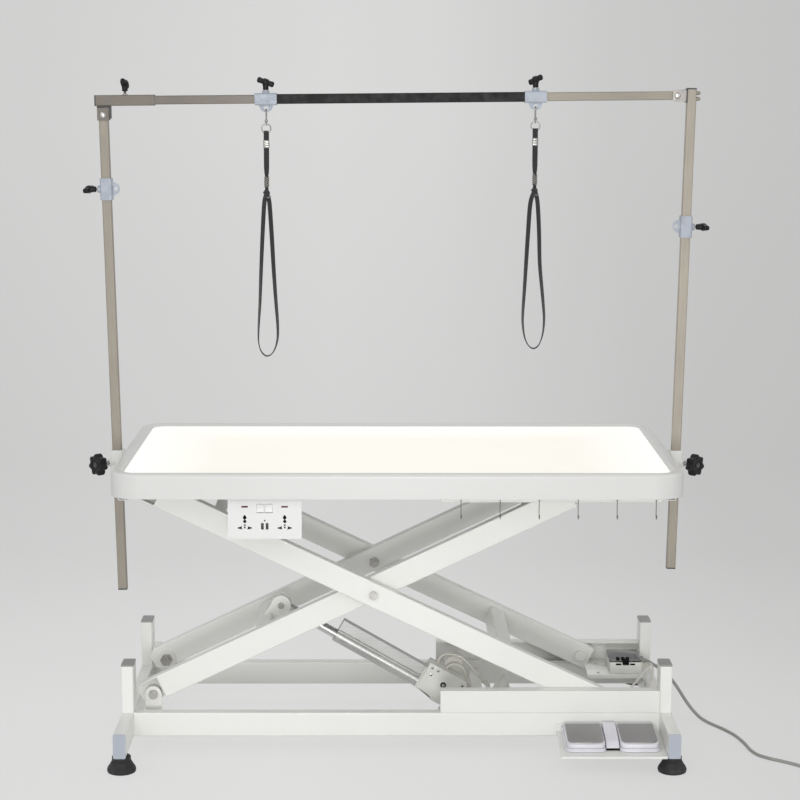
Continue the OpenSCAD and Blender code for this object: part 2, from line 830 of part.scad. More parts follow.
// Section of the rim and skirt: x runs outwards from the corner's centre
module rim_section() {
    steps = 6;
    inner = corner_r - rim_w;
    polygon(concat(
        [[corner_r - skirt_wall, skirt_z], [corner_r, skirt_z]],
        [for (i = [0 : steps])
            [corner_r - rim_r + rim_r * cos(90 * i / steps),
             rim_z - rim_r + rim_r * sin(90 * i / steps)]],
        [[inner + 9, rim_z], [inner + 5, rim_z - 0.8], [inner, rim_z - rim_drop],
         [inner, deck_z], [corner_r - skirt_wall, deck_z]]
    ));
}

module rim_side(len) {
    translate([0, 0, 0]) rotate([90, 0, 0])
        translate([0, 0, -len / 2]) linear_extrude(len) rim_section();
}

module table_shell() {
    ix = table_w / 2 - corner_r;
    iy = table_d / 2 - corner_r;
    color([0.91, 0.91, 0.89]) {
        for (s = [0, 1]) {
            rotate(180 * s) translate([ix, 0, 0]) rim_side(2 * iy);
            rotate(90 + 180 * s) translate([iy, 0, 0]) rim_side(2 * ix);
        }
        for (q = [[1, 1, 0], [-1, 1, 90], [-1, -1, 180], [1, -1, 270]])
            translate([q[0] * ix, q[1] * iy, 0]) rotate(q[2])
                rotate_extrude(angle = 90) rim_section();
        translate([0, 0, deck_z])
            linear_extrude(panel_z - slide_gap - deck_z)
                rounded_rect(table_w - 2 * rim_w + 4, table_d - 2 * rim_w + 4,
                             corner_r - rim_w + 2);
        hook_places() hook_ears();
    }
}

module lit_panel() {
    gap = rim_w + slide_gap;
    color([1.0, 0.97, 0.88])
        translate([0, 0, panel_z - slide_gap]) linear_extrude(panel_t + slide_gap)
            rounded_rect(table_w - 2 * gap, table_d - 2 * gap, corner_r - gap);
}

// Tubes, roller tracks and pivot lugs under the table top, welded as one frame
module sub_tubes(wall) {
    r = wall > 0 ? 0 : tube_r;
    open = wall > 0 ? cut : 0;
    reach = wall > 0 ? 2 * tube_wall : 0;
    top = deck_z - slide_gap;
    both_ends()
        round_bar([sub_x - tube_w + wall, -rail_out - open, sub_z - tube_h + sub_h + wall],
                  [sub_x - wall, rail_out + open, top - wall], 1, r);
    both_sides()
        round_bar([-sub_x + tube_w - max(reach, r), rail_in + wall, sub_z + wall],
                  [sub_x - tube_w + max(reach, r), rail_out - wall, top - wall], 0, r);
    round_bar([-sub_x + tube_w - max(reach, r), -tube_w / 2 + wall, sub_z + wall],
              [sub_x - tube_w + max(reach, r), tube_w / 2 - wall, top - wall], 0, r);
}

module table_subframe() {
    color([0.88, 0.88, 0.86]) {
        difference() {
            sub_tubes(0);
            sub_tubes(tube_wall);
        }
        both_sides() {
            translate([inner_x - track_len, 0, top_pivot_z - track_h / 2])
                track(rail_in + 0.5, rail_in + 0.5 - outer_arm_in);
            translate([pivot_x, 0, top_pivot_z]) mirror([0, 0, 1])
                pivot_lug(outer_arm_out - lug_set - lug_t, rail_in, track_h / 2 + lug_foot_t);
        }
    }
}

// Places of the tool hooks, under the skirt's front edge
module hook_places() {
    for (i = [0 : hook_count - 1])
        translate([hook_x + i * hook_pitch, -table_d / 2 + skirt_wall / 2, skirt_z - 3])
            children();
}

module hook_ears() {
    for (s = [-1, 1])
        translate([s * 2.4 - 0.6, -1.4, -1.6]) cube([1.2, 2.8, 5.6]);
    translate([-2.6, 0, 0]) rotate([0, 90, 0]) cylinder(r = 0.8, h = 5.2, $fn = 24);
}

// A wire hook: an eye on the pin, a shank and an open loop
module hook_wire_shape() {
    w = hook_wire / 2;
    eye = 0.9 + w;
    loop = 4;
    rotate([0, 90, 0]) rotate_extrude($fn = 24) translate([eye, 0]) circle(r = w, $fn = 16);
    translate([0, 0, -hook_len + 2 * loop]) cylinder(r = w, h = hook_len - 2 * loop - eye);
    translate([0, -loop, -hook_len + 2 * loop]) rotate([90, 0, 0]) rotate([0, 90, 0])
        rotate_extrude(angle = 250, $fn = 32) translate([loop, 0]) circle(r = w, $fn = 16);
}

module tool_hooks() {
    color([0.45, 0.44, 0.42]) hook_places() hook_wire_shape();
}

// Frame of one post: its axis is Z, leaning outwards, with the socket's middle as origin
module on_post(side) {
    translate([side * post_x, 0, lean_z]) rotate([0, side * post_lean, 0]) children();
}

// Square sockets on end plates, with a threaded boss on the outer front corner
module post_sockets() {
    plate_out = post_x - socket_w / 2 - end_x + 0.5;
    color([0.90, 0.90, 0.88]) for (side = [-1, 1]) difference() {
        union() {
            round_bar([side * post_x - socket_w / 2, -socket_w / 2, skirt_z],
                      [side * post_x + socket_w / 2, socket_w / 2, socket_top], 2, post_r);
            translate([side > 0 ? end_x : -end_x - plate_out, -socket_w / 2 - 9, skirt_z])
                cube([plate_out, socket_w + 18, socket_h - 3]);
            translate([side * post_x, 0, star_z]) rotate([0, 0, star_turn(side)])
                x_rod(socket_w / 2, socket_w / sqrt(2) + 6, 0, 7);
        }
        on_post(side)
            translate([-hole_w / 2, -hole_w / 2, -socket_h])
                cube([hole_w, hole_w, 2 * socket_h]);
        translate([side * post_x, 0, star_z]) rotate([0, 0, star_turn(side)])
            x_rod(0, socket_w + 10, 0, star_screw_r + pin_play);
    }
}

star_screw_r = 4;
star_at = 51;
star_z = lean_z - 4;
function star_turn(side) = side > 0 ? -45 : -135;

module star_knob(side) {
    r = star_d / 2;
    lobes = 7;
    translate([side * post_x, 0, star_z]) rotate([0, 0, star_turn(side)]) {
        color([0.12, 0.12, 0.12]) {
            translate([star_at - 9, 0, 0]) rotate([0, 90, 0]) linear_extrude(18) {
                circle(r = r - 5);
                for (i = [0 : lobes - 1]) rotate(360 * i / lobes)
                    translate([r - 6.5, 0]) circle(r = 6.5);
            }
            x_rod(star_at - 16, star_at - 9, 0, 9);
        }
        color([0.6, 0.6, 0.6])
            x_rod(post_w / sqrt(2) + 0.5, star_at - 16, 0, star_screw_r);
    }
}

module left_star_knob() { star_knob(-1); }
module right_star_knob() { star_knob(1); }

// Twin outlet plate: a shallow box with pin holes, rocker windows and lamp slots
module socket_plate() {
    top = skirt_z - 0.4;
    color([0.93, 0.93, 0.92]) difference() {
        union() {
            translate([plate_x, plate_y, top - plate_h / 2]) rotate([90, 0, 0])
                linear_extrude(plate_t) rounded_rect(plate_w, plate_h, 5);
            translate([plate_x - plate_w / 2 + 6, plate_y - 0.5, top - plate_h + 6])
                cube([plate_w - 12, plate_box_d, plate_h - 6]);
            translate([plate_x - plate_w / 2 + 20, plate_y + 4, top - 1])
                cube([plate_w - 40, plate_box_d - 10, deck_z - slide_gap - top + 1]);
        }
        for (s = [-1, 1]) translate([plate_x + s * pin_x, plate_y - plate_t, top]) {
            outlet_holes();
            translate([-6.5, -cut, -lamp_low]) cube([13, 3 + cut, 3.6]);
        }
        for (s = [-1, 1]) {
            translate([plate_x + s * 8.4 - rocker_w / 2, plate_y - plate_t - cut, top - rocker_low])
                cube([rocker_w, 7 + cut, rocker_h]);
            translate([plate_x + s * 4.7 - 2.6, plate_y - plate_t - cut, top - usb_low])
                cube([5.2, 9 + cut, 13]);
        }
        translate([plate_x, plate_y - plate_t - cut, top - dot_low]) rotate([-90, 0, 0])
            cylinder(r = 1.6, h = 3 + cut);
    }
}

// Openings of one general-purpose outlet: keyed round pins above, two forked slots below
module outlet_holes() {
    translate([0, -cut, 0]) rotate([-90, 0, 0]) linear_extrude(11 + cut) {
        translate([0, 35.8]) circle(r = 2);
        translate([0, 39.3]) circle(r = 3.6);
        translate([-0.9, 39.3]) square([1.8, 7.6]);
        translate([0, 46.9]) circle(r = 3.2);
        for (z = [54.4, 59.2]) translate([-1.6, z - 1.6]) square(3.2);
        for (s = [-1, 1])
            polygon([[s * 4.6, 63.4], [s * 6.2, 59.8], [s * 5.6, 55.7], [s * 9, 58],
                     [s * 13.4, 58.6], [s * 14.2, 60], [s * 13.4, 61.4], [s * 9, 62]]);
    }
}

module rocker(s) {
    top = skirt_z - 0.4;
    g = slide_gap;
    color([0.94, 0.94, 0.93])
        translate([plate_x + s * 8.4, plate_y - plate_t, top - rocker_low + rocker_h / 2])
            rotate([90, 0, 90])
                translate([0, 0, -rocker_w / 2 + g]) linear_extrude(rocker_w - 2 * g)
                {
                    polygon([[5.5, -2], [-0.4, -rocker_h / 2 + 1.2], [-1.6, -rocker_h / 2 + 1.6],
                             [-0.6, 0], [1.2, rocker_h / 2 - 1], [5.5, 2]]);
                    translate([rocker_axle, 0]) circle(r = 2.6);
                }
}

module left_rocker() { rocker(-1); }
module right_rocker() { rocker(1); }

module socket_lamps() {
    top = skirt_z - 0.4;
    g = 0.1;
    color([0.45, 0.05, 0.05]) {
        for (s = [-1, 1])
            translate([plate_x + s * pin_x - 6.5 + g, plate_y - plate_t - 0.4, top - lamp_low + g])
                cube([13 - 2 * g, 3.4 - g, 3.6 - 2 * g]);
        translate([plate_x, plate_y - plate_t - 0.3, top - dot_low]) rotate([-90, 0, 0])
            cylinder(r = 1.5, h = 3);
    }
}

// A square tube along Z, open at both ends
module square_tube(w, wall, z0, z1) {
    difference() {
        round_bar([-w / 2, -w / 2, z0], [w / 2, w / 2, z1], 2, post_r);
        translate([-w / 2 + wall, -w / 2 + wall, z0 - cut])
            cube([w - 2 * wall, w - 2 * wall, z1 - z0 + 2 * cut]);
    }
}

module post_plug(z, up) {
    g = post_wall + 0.2;
    in = post_w - 2 * g;
    deep = 4;
    translate([0, 0, up > 0 ? z : z - cap_t]) linear_extrude(cap_t)
        rounded_rect(post_w, post_w, post_r);
    translate([-in / 2, -in / 2, up > 0 ? z - deep : z]) cube([in, in, deep]);
}

module left_post() {
    color([0.58, 0.55, 0.50]) on_post(-1) difference() {
        square_tube(post_w, post_wall, left_post_z - lean_z, left_top_z - lean_z);
        y_rod(0, left_top_z - lean_z - 11, -post_w, post_w, knob_screw_r + pin_play);
    }
}

module left_post_caps() {
    g = (sleeve_w - bar_w) / 2 - slide_gap + 0.2;
    in = sleeve_w - 2 * g;
    color([0.15, 0.15, 0.15]) {
        on_post(-1) post_plug(left_post_z - lean_z, -1);
        on_bar() {
            round_bar([-sleeve_end - cap_t, -sleeve_w / 2, -sleeve_w / 2],
                      [-sleeve_end, sleeve_w / 2, sleeve_w / 2], 0, post_r);
            translate([-sleeve_end, -in / 2, -in / 2]) cube([8, in, in]);
        }
    }
}

// Frame of the crossbar: X along the bar, its axis at Z = 0
module on_bar() {
    translate([0, 0, bar_z]) rotate([0, -bar_tilt, 0]) children();
}

// A square tube along X
module bar_tube(w, hole, x0, x1) {
    difference() {
        round_bar([x0, -w / 2, -w / 2], [x1, w / 2, w / 2], 0, post_r);
        translate([x0 - cut, -hole / 2, -hole / 2]) cube([x1 - x0 + 2 * cut, hole, hole]);
    }
}

// The sleeve, the bent bracket that hangs from it over the left post, and the bracket's bolt
module bar_sleeve() {
    hole = bar_w + 2 * slide_gap;
    post_at = -post_x - (left_top_z - lean_z) * tan(post_lean);
    in = post_w / 2 + slide_gap;
    color([0.60, 0.57, 0.52]) {
        on_bar() difference() {
            bar_tube(sleeve_w, hole, -sleeve_end, -sleeve_start);
            translate([sleeve_knob_at - sleeve_end, 0, 0])
                cylinder(r = knob_screw_r + pin_play, h = sleeve_w);
        }
        on_bar() {
            x0 = post_at - flap_w / 2;
            translate([x0, -in - bracket_t, -sleeve_w / 2 - bracket_t])
                cube([flap_w, 2 * (in + bracket_t), bracket_t]);
            both_sides() difference() {
                translate([x0, in, -sleeve_w / 2 - bracket_t - 27])
                    cube([flap_w, bracket_t, 27.5]);
                y_rod(post_at, -sleeve_w / 2 - bracket_t - 16, 0, in + bracket_t + cut,
                      knob_screw_r + pin_play);
            }
        }
    }
    color([0.70, 0.70, 0.70])
        on_post(-1) translate([0, 0, left_top_z - lean_z - 11]) bracket_bolt(in + bracket_t);
}

// A small bolt along Y with a domed head in front and a nut behind
module bracket_bolt(y) {
    y_rod(0, 0, -y - 0.2, y + 5, knob_screw_r);
    y_rod(0, 0, -y - 2.2, -y - 0.2, 5.5);
    y_rod(0, 0, -y - 3.4, -y - 2.2, 3.8);
    difference() {
        y_hex(0, 0, y + 0.2, y + 4, 5.8);
        y_rod(0, 0, y, y + 5, knob_screw_r - 0.4);
    }
}

module right_post() {
    z = (right_top_z - 13) - lean_z;
    color([0.58, 0.55, 0.50]) on_post(1) difference() {
        square_tube(post_w, post_wall, right_post_z - lean_z, right_top_z - lean_z);
        for (s = [-1, 1])
            x_rod(-post_w, post_w, z + 6 * s, 2 + pin_play);
    }
}

module right_post_caps() {
    color([0.15, 0.15, 0.15]) on_post(1) {
        post_plug(right_post_z - lean_z, -1);
        post_plug(right_top_z - lean_z, 1);
    }
}

// The crossbar, the bracket that joins its right end to the post, and their fasteners
module crossbar() {
    in = bar_w / 2 + slide_gap;
    bolt_at = bar_end - 12;
    post_z = right_top_z - 13 - lean_z;
    color([0.60, 0.57, 0.52]) on_bar() difference() {
        bar_tube(bar_w, bar_w - 2 * post_wall, -bar_start, bar_end);
        y_rod(bolt_at, 0, -bar_w, bar_w, knob_screw_r + pin_play);
    }
    color([0.62, 0.60, 0.56]) on_post(1) difference() {
        union() {
            translate([-post_w / 2 - bracket_t, -in - bracket_t, post_z - 12])
                cube([bracket_t, 2 * (in + bracket_t), 24]);
            both_sides() {
                translate([-post_w / 2 - flap_w + 6, in, post_z - 12])
                    cube([flap_w - 6, bracket_t, 24]);
                y_rod(-post_w / 2 - flap_w + 6, post_z, in, in + bracket_t, 12);
            }
        }
        for (s = [-1, 1])
            x_rod(-post_w, 0, post_z + 6 * s, 2 + pin_play);
        y_rod(-post_w / 2 - flap_w + 6, post_z, -bar_w, bar_w, knob_screw_r + 0.6);
    }
    color([0.70, 0.70, 0.70]) {
        on_bar() translate([bolt_at, 0, 0]) bracket_bolt(in + bracket_t);
        on_post(1) for (s = [-1, 1]) {
            x_rod(-post_w / 2 - bracket_t - 0.2, post_w / 2 + 5, post_z + 6 * s, 2);
            x_rod(-post_w / 2 - bracket_t - 3, -post_w / 2 - bracket_t - 0.2, post_z + 6 * s, 3.6);
            difference() {
                union() {
                    x_rod(post_w / 2 + 0.2, post_w / 2 + 6, post_z + 6 * s, 4.2);
                    translate([post_w / 2 + 6, 0, post_z + 6 * s]) sphere(r = 3.4);
                }
                x_rod(post_w / 2, post_w / 2 + 5.2, post_z + 6 * s, 1.6);
            }
        }
    }
}

module bar_grip() {
    in = bar_w + 0.2;
    color([0.12, 0.12, 0.12]) on_bar()
        bar_tube(in + 2 * grip_t, in, bar_mid - grip_len / 2, bar_mid + grip_len / 2);
}

// A slider around a square tube of width w that runs along X; its eye is on -Z, its knob on +Z
module slider_block(w) {
    hole = w + 2 * slide_gap;
    y = slider_w / 2;
    color([0.73, 0.77, 0.83]) difference() {
        union() {
            round_bar([-slider_len / 2, -y, -y], [slider_len / 2, y, y], 0, slider_r);
            y_rod(0, -y - 0.5, -lobe_t / 2, lobe_t / 2, lobe_r);
            translate([0, 0, y - cut]) cylinder(r = 7.5, h = 5 + cut);
        }
        translate([-slider_len, -hole / 2, -hole / 2]) cube([2 * slider_len, hole, hole]);
        y_rod(0, -eye_at, -slider_w, slider_w, eye_d / 2);
        cylinder(r = knob_screw_r + pin_play, h = slider_w);
    }
}

// A wing knob on +Z with its screw, turned on it, for a clamp on a tube of width w
module wing_knob(w, turn) {
    end_r = 6;
    color([0.12, 0.12, 0.12]) translate([0, 0, knob_at]) rotate([0, 0, turn]) difference() {
        union() {
            cylinder(r1 = 5.8, r2 = 7.4, h = wing_at);
            translate([0, 0, wing_at]) rotate([0, wing_tilt, 0])
                translate([0, 0, -wing_t / 2]) linear_extrude(wing_t) {
                    circle(r = 8);
                    for (s = [-1, 1]) {
                        translate([s * (wing_span / 2 - end_r), 0]) circle(r = end_r);
                        polygon([[0, -8], [0, 8], [s * (wing_span / 2 - end_r), end_r],
                                 [s * (wing_span / 2 - end_r), -end_r]]);
                    }
                }
        }
        translate([0, 0, -cut]) cylinder(r = knob_screw_r - 0.4, h = 6 + cut);
    }
    color([0.65, 0.65, 0.65])
        translate([0, 0, w / 2 + 0.2]) cylinder(r = knob_screw_r, h = knob_at - w / 2 + 4);
}

// Places of the four sliders and of the sleeve's knob
module at_bar_slider(side) {
    on_bar() translate([bar_mid + side * slider_x, 0, 0]) children();
}

module at_post_slider(side) {
    z = side > 0 ? right_slider_z : left_slider_z;
    on_post(side) translate([0, 0, z - lean_z]) rotate([0, side > 0 ? 90 : -90, 0]) children();
}

module bar_slider_left() { at_bar_slider(-1) slider_block(bar_w); }
module bar_slider_right() { at_bar_slider(1) slider_block(bar_w); }
module post_slider_left() { at_post_slider(-1) slider_block(post_w); }
module post_slider_right() { at_post_slider(1) slider_block(post_w); }
module bar_knob_left() { at_bar_slider(-1) wing_knob(bar_w, 0); }
module bar_knob_right() { at_bar_slider(1) wing_knob(bar_w, 135); }
module post_knob_left() { at_post_slider(-1) wing_knob(post_w, 80); }
module post_knob_right() { at_post_slider(1) wing_knob(post_w, 95); }

module sleeve_wing_knob() {
    drop = knob_at - sleeve_w / 2 - 9;
    on_bar() translate([sleeve_knob_at - sleeve_end, 0, -drop])
        wing_knob(bar_w + 2 * drop, 80);
}

// Frame of a hanging noose: the origin is the eye's centre and Z is straight up
module on_noose(side) {
    x = bar_mid + side * slider_x;
    translate([x * cos(bar_tilt) + eye_at * sin(bar_tilt), 0,
               bar_z + x * sin(bar_tilt) - eye_at * cos(bar_tilt)]) children();
}

// Metal fittings: a spring hook through the eye, a swivel, a ring, a crimp and a coiled clamp
module noose_clip() {
    color([0.55, 0.54, 0.52]) {
        translate([0, 0, -8.6]) rotate([0, 90, 0]) hook_ring(6.8, 1.6);
        translate([0, 0, -24]) cylinder(r = 3.4, h = 7.2);
        translate([0, 0, -30]) cylinder(r = 2, h = 7);
        translate([0, 0, -27]) sphere(r = 4.2);
        translate([0, 0, -ring_at]) rotate([90, 0, 0]) hook_ring(ring_r, 1.3);
        difference() {
            translate([-strap_w / 2 - 1.2, -3.6, -clamp_at - clamp_h])
                cube([strap_w + 2.4, 7.2, clamp_h]);
            translate([-strap_w / 2 - 0.3, -2.7, -clamp_at - clamp_h - cut])
                cube([strap_w + 0.6, 5.4, clamp_h + 2 * cut]);
        }
        for (i = [0 : spring_turns - 1])
            translate([0, 0, -spring_at - spring_pitch * i])
                rotate([0, 12, 0]) hook_ring(5.4, 1.7);
    }
}

module hook_ring(r, w) {
    rotate_extrude() translate([r, 0]) circle(r = w, $fn = 16);
}

// The strap: a doubled tail down to the spring, a thin neck in it and the long loop below it
module noose_outline(inset) {
    r = noose_w / 2 - inset;
    low = noose_drop - noose_w / 2;
    top = neck_end - 8 + inset;
    translate([0, -low]) circle(r = r);
    polygon([[-3.4 + inset, -top], [3.4 - inset, -top],
             [r * cos(4), -low + r * sin(4)], [-r * cos(4), -low + r * sin(4)]]);
}

module noose_strap() {
    w = strap_w / 2;
    color([0.10, 0.10, 0.10]) {
        span([-w, -strap_t, -neck_start - 1], [w, strap_t, -fold_at - fold_r - strap_t / 2]);
        translate([0, 0, -fold_at]) rotate([0, 90, 0]) translate([0, 0, -w])
            linear_extrude(strap_w) difference() {
                circle(r = fold_r + strap_t);
                circle(r = fold_r);
            }
        translate([-2.5, -2, -neck_end]) cube([5, 4, neck_end - neck_start]);
        translate([0, 4, 0]) rotate([90, 0, 0]) linear_extrude(8) difference() {
            noose_outline(0);
            noose_outline(strap_t);
        }
    }
}

module noose_clip_left() { on_noose(-1) noose_clip(); }
module noose_clip_right() { on_noose(1) noose_clip(); }
module noose_strap_left() { on_noose(-1) noose_strap(); }
module noose_strap_right() { on_noose(1) noose_strap(); }

// Frame of the foot switch: on the tray's top, Y from the rail towards the front
module on_tray() {
    translate([tray_x, -rail_out, tray_rear_z]) rotate([tray_slope, 0, 0]) children();
}

module pedal_tray() {
    color([0.90, 0.90, 0.88]) on_tray() {
        span([-tray_w / 2 + slide_gap, -tray_len, -tray_t],
             [tray_w / 2 - slide_gap, -0.4, 0]);
        span([-tray_w / 2 + slide_gap, -tray_t - 0.4, -tray_t], [tray_w / 2 - slide_gap, -0.4, 14]);
        span([-tray_w / 2 + slide_gap, -tray_len, -tray_t - 1.4],
             [tray_w / 2 - slide_gap, -tray_len + tray_t, 2]);
    }
}

// Base plate, bridge between the pedals and the cheeks that carry the pedals' hinge
module pedal_housing() {
    w = pedal_x + pedal_w / 2;
    front = -pedal_rear - pedal_d;
    color([0.88, 0.87, 0.90]) on_tray() {
        span([-w, front, slide_gap], [w, -pedal_rear + 4, switch_base_t]);
        translate([bridge_w / 2, 0, 0]) rotate([90, 0, -90]) linear_extrude(bridge_w)
            polygon([[pedal_rear - 4, 2], [pedal_rear - 4, 20], [pedal_rear + 6, 24],
                     [pedal_rear + pedal_d - 22, 15], [pedal_rear + pedal_d - 6, 6],
                     [pedal_rear + pedal_d - 6, 2]]);
        for (s = [-1, 1])
            translate([s * (w - 1.5) - 1.5, -pedal_rear - 8, 1]) cube([3, 12, pedal_hinge_z + 3]);
        x_pin = w - 1;
        translate([0, -pedal_rear, pedal_hinge_z]) x_rod(-x_pin, x_pin, 0, 2);
    }
}

// A rocking pedal: a white shell with a grey tread plate on top
module pedal(s) {
    w = pedal_w - 7;
    rear = 20;
    on_tray() translate([s * pedal_x - s * 1, -pedal_rear, pedal_hinge_z]) {
        color([0.91, 0.91, 0.92]) difference() {
            union() {
                translate([w / 2, 0, 0]) rotate([90, 0, -90]) linear_extrude(w)
                    polygon([[2.5, -1], [2.5, rear - 9], [pedal_d - 7, 8], [pedal_d - 3, 5.5],
                             [pedal_d - 2, 2.5]]);
                x_rod(-w / 2, w / 2, 0, 3.6);
            }
            x_rod(-w, w, 0, 2 + pin_play);
        }
        color([0.56, 0.55, 0.55])
            translate([w / 2 - 4, 0, 0]) rotate([90, 0, -90]) linear_extrude(w - 8)
                polygon([[7, rear - 9.4], [7, rear - 7], [pedal_d - 11, 10.4],
                         [pedal_d - 11, 7.9]]);
    }
}

module left_pedal() { pedal(-1); }
module right_pedal() { pedal(1); }

// Sheet shelf on the right beam with the control box: a light case, a dark lid and three sockets
module control_box() {
    x0 = control_x - control_w / 2;
    y0 = control_y - control_d / 2;
    color([0.90, 0.90, 0.88]) {
        difference() {
            translate([control_x, control_y, shelf_z]) linear_extrude(control_h - lid_t)
                rounded_rect(control_w, control_d, 4);
            translate([gland_x, cord_y, cord_z]) rotate([0, gland_tilt, 0])
                x_rod(-5, 8, 0, cord_r + 1.9 + slide_gap);
        }
        for (x = SOCKETS_X)
            span([x0 + x - 5.5, y0 - socket_out, shelf_z + 3],
                 [x0 + x + 5.5, y0 + 0.5, shelf_z + 14]);
        span([x0 - shelf_side, y0 - 6, shelf_z - shelf_t], [inner_x, y0 + control_d, shelf_z]);
        span([inner_x - shelf_t, y0 - 6, beam_top - 20], [inner_x, y0 + control_d, shelf_z]);
    }
    color([0.20, 0.20, 0.21])
        translate([control_x, control_y, shelf_z + control_h - lid_t - cut / 10])
            linear_extrude(lid_t + cut / 10) rounded_rect(control_w - 3, control_d - 3, 4);
}

// A tube swept along points: rings of 'sides' corners, with flat ends
function direction(p, i) =
    let (a = p[max(i - 1, 0)], b = p[min(i + 1, len(p) - 1)]) (b - a) / norm(b - a);
function ring_side(t) = let (s = cross([0, 0, 1], t)) s / norm(s);
function ring(p, i, r, sides) =
    let (t = direction(p, i), u = ring_side(t), v = cross(t, u))
    [for (k = [0 : sides - 1]) p[i] + r * (cos(360 * k / sides) * u + sin(360 * k / sides) * v)];

module swept_tube(p, r, sides) {
    n = len(p);
    points = [for (i = [0 : n - 1]) each ring(p, i, r, sides)];
    walls = [for (i = [0 : n - 2], k = [0 : sides - 1])
        let (a = i * sides + k, b = i * sides + (k + 1) % sides)
        each [[a, b, a + sides], [b, b + sides, a + sides]]];
    first = [for (k = [1 : sides - 2]) [0, k + 1, k]];
    last = [for (k = [1 : sides - 2]) [(n - 1) * sides, (n - 1) * sides + k, (n - 1) * sides + k + 1]];
    polyhedron(points, concat(first, walls, last));
}

// A smooth curve through the hand-chosen points
function blend_point(a, b, c, d, t) =
    0.5 * (2 * b + (c - a) * t + (2 * a - 5 * b + 4 * c - d) * t * t
           + (3 * b - a - 3 * c + d) * t * t * t);
function smooth(p, steps) = concat(
    [for (i = [0 : len(p) - 2], s = [0 : steps - 1])
        blend_point(p[max(i - 1, 0)], p[i], p[i + 1], p[min(i + 2, len(p) - 1)], s / steps)],
    [p[len(p) - 1]]);

// Thin cables from the control box down to the pedals and the actuator
CABLES = [
    [[6, 0, 1], [13.5, -8, 2.6], [15.9, -18, 2.9], [6.1, -36, -1.3], [-8.4, -58, -8.6],
     [-20.4, -78, -14.4], [-31.5, -98, -19.4], [-44, -126, -33], [-54, -160, -54],
     [-62, -196, -73], [-66, -231, -77], [-68, -266, -77], [-68, -280, -63.8]],
    [[6, -0.5, 1.5], [18.5, -16, 6.5], [21.6, -40, 8], [19.8, -64, 2.5], [16, -82, -1.8],
     [11.1, -106, -5.7], [3.9, -138, -10.3], [-2, -166, -24], [-8, -196, -48],
     [-14, -226, -70], [-19, -256, -76.5], [-22, -280, -76.5], [-22, -290, -63.8]]
];

module control_cables() {
    color([0.88, 0.87, 0.84]) for (i = [0, 1]) {
        start = [gland_x + slide_gap, cord_y - 34 + 10 * i, shelf_z + 12];
        route = concat([start], [for (p = CABLES[i]) start + p]);
        swept_tube(smooth(route, 4), cable_r, 8);
    }
}

// Tapered strain relief at the control box
module cord_gland() {
    color([0.45, 0.45, 0.44])
        translate([gland_x, cord_y, cord_z]) rotate([0, 90 + gland_tilt, 0]) difference() {
            union() {
                translate([0, 0, -2]) cylinder(r = cord_r + 1.9, h = 3);
                translate([0, 0, 4.2]) cylinder(r = cord_r + 3.5, h = 2.5);
                cylinder(r1 = cord_r + 1.9, r2 = cord_r + 0.9, h = gland_len - 0.2);
            }
            translate([0, 0, gland_len - 6]) cylinder(r = cord_r - 0.5, h = 8);
        }
}

module power_cord() {
    color([0.56, 0.56, 0.54]) swept_tube(smooth(CORD_ROUTE, 3), cord_r, 8);
}

// The coil: one layer winding inwards on the floor and one winding outwards on top of it
function coil_point(turn) =
    let (half = coil_turns / 2, top = turn > half,
         climb = min(max((turn - half + 0.25) / 0.5, 0), 1),
         r = coil_out_r - coil_pitch * (half - abs(turn - half)),
         a = 180 + 360 * turn)
    [coil_c[0] + r * cos(a), coil_c[1] + r * sin(a), cord_r + climb * coil_pitch];
COIL = [for (i = [0 : coil_turns * coil_rings]) coil_point(i / coil_rings)];
coil_end = COIL[len(COIL) - 1];
COIL_TAIL = [coil_end + [0, -16, -0.6], coil_end + [4, -34, -3.2], coil_end + [9, -52, -6.2],
             coil_end + [14, -68, -coil_pitch]];

COIL_PATH = concat(COIL, COIL_TAIL);
function least_gap(p, skip) =
    min([for (i = [0 : len(p) - 1 - skip], j = [i + skip : len(p) - 1]) norm(p[i] - p[j])]) - cord_d;
echo(str("cord_coil least gap to itself, mm: ", least_gap(COIL_PATH, 8)));

module cord_coil() {
    color([0.56, 0.56, 0.54]) swept_tube(COIL_PATH, cord_r, 6);
}

// A plain moulded plug with two round pins, lying on the floor beside the coil
module cord_plug() {
    end = COIL_TAIL[len(COIL_TAIL) - 1];
    from = COIL_TAIL[len(COIL_TAIL) - 2];
    turn = atan2(end[1] - from[1], end[0] - from[0]);
    color([0.50, 0.50, 0.48])
        translate([end[0], end[1], 0]) rotate([0, 0, turn]) translate([0, 0, 9]) {
            difference() {
                union() {
                    translate([0, 0, cord_r - 9]) x_rod(0.3, 14, 0, cord_r + 1.2);
                    translate([13, -13, -9]) cube([24, 26, 18]);
                    translate([36, -9, -9]) cube([8, 18, 18]);
                }
                translate([-cut, 0, cord_r - 9]) x_rod(0, 1.3, 0, cord_r + 0.2);
            }
            for (y = [-1, 1]) translate([0, y * 6, 0]) x_rod(43, 62, 0, 2.4);
        }
}

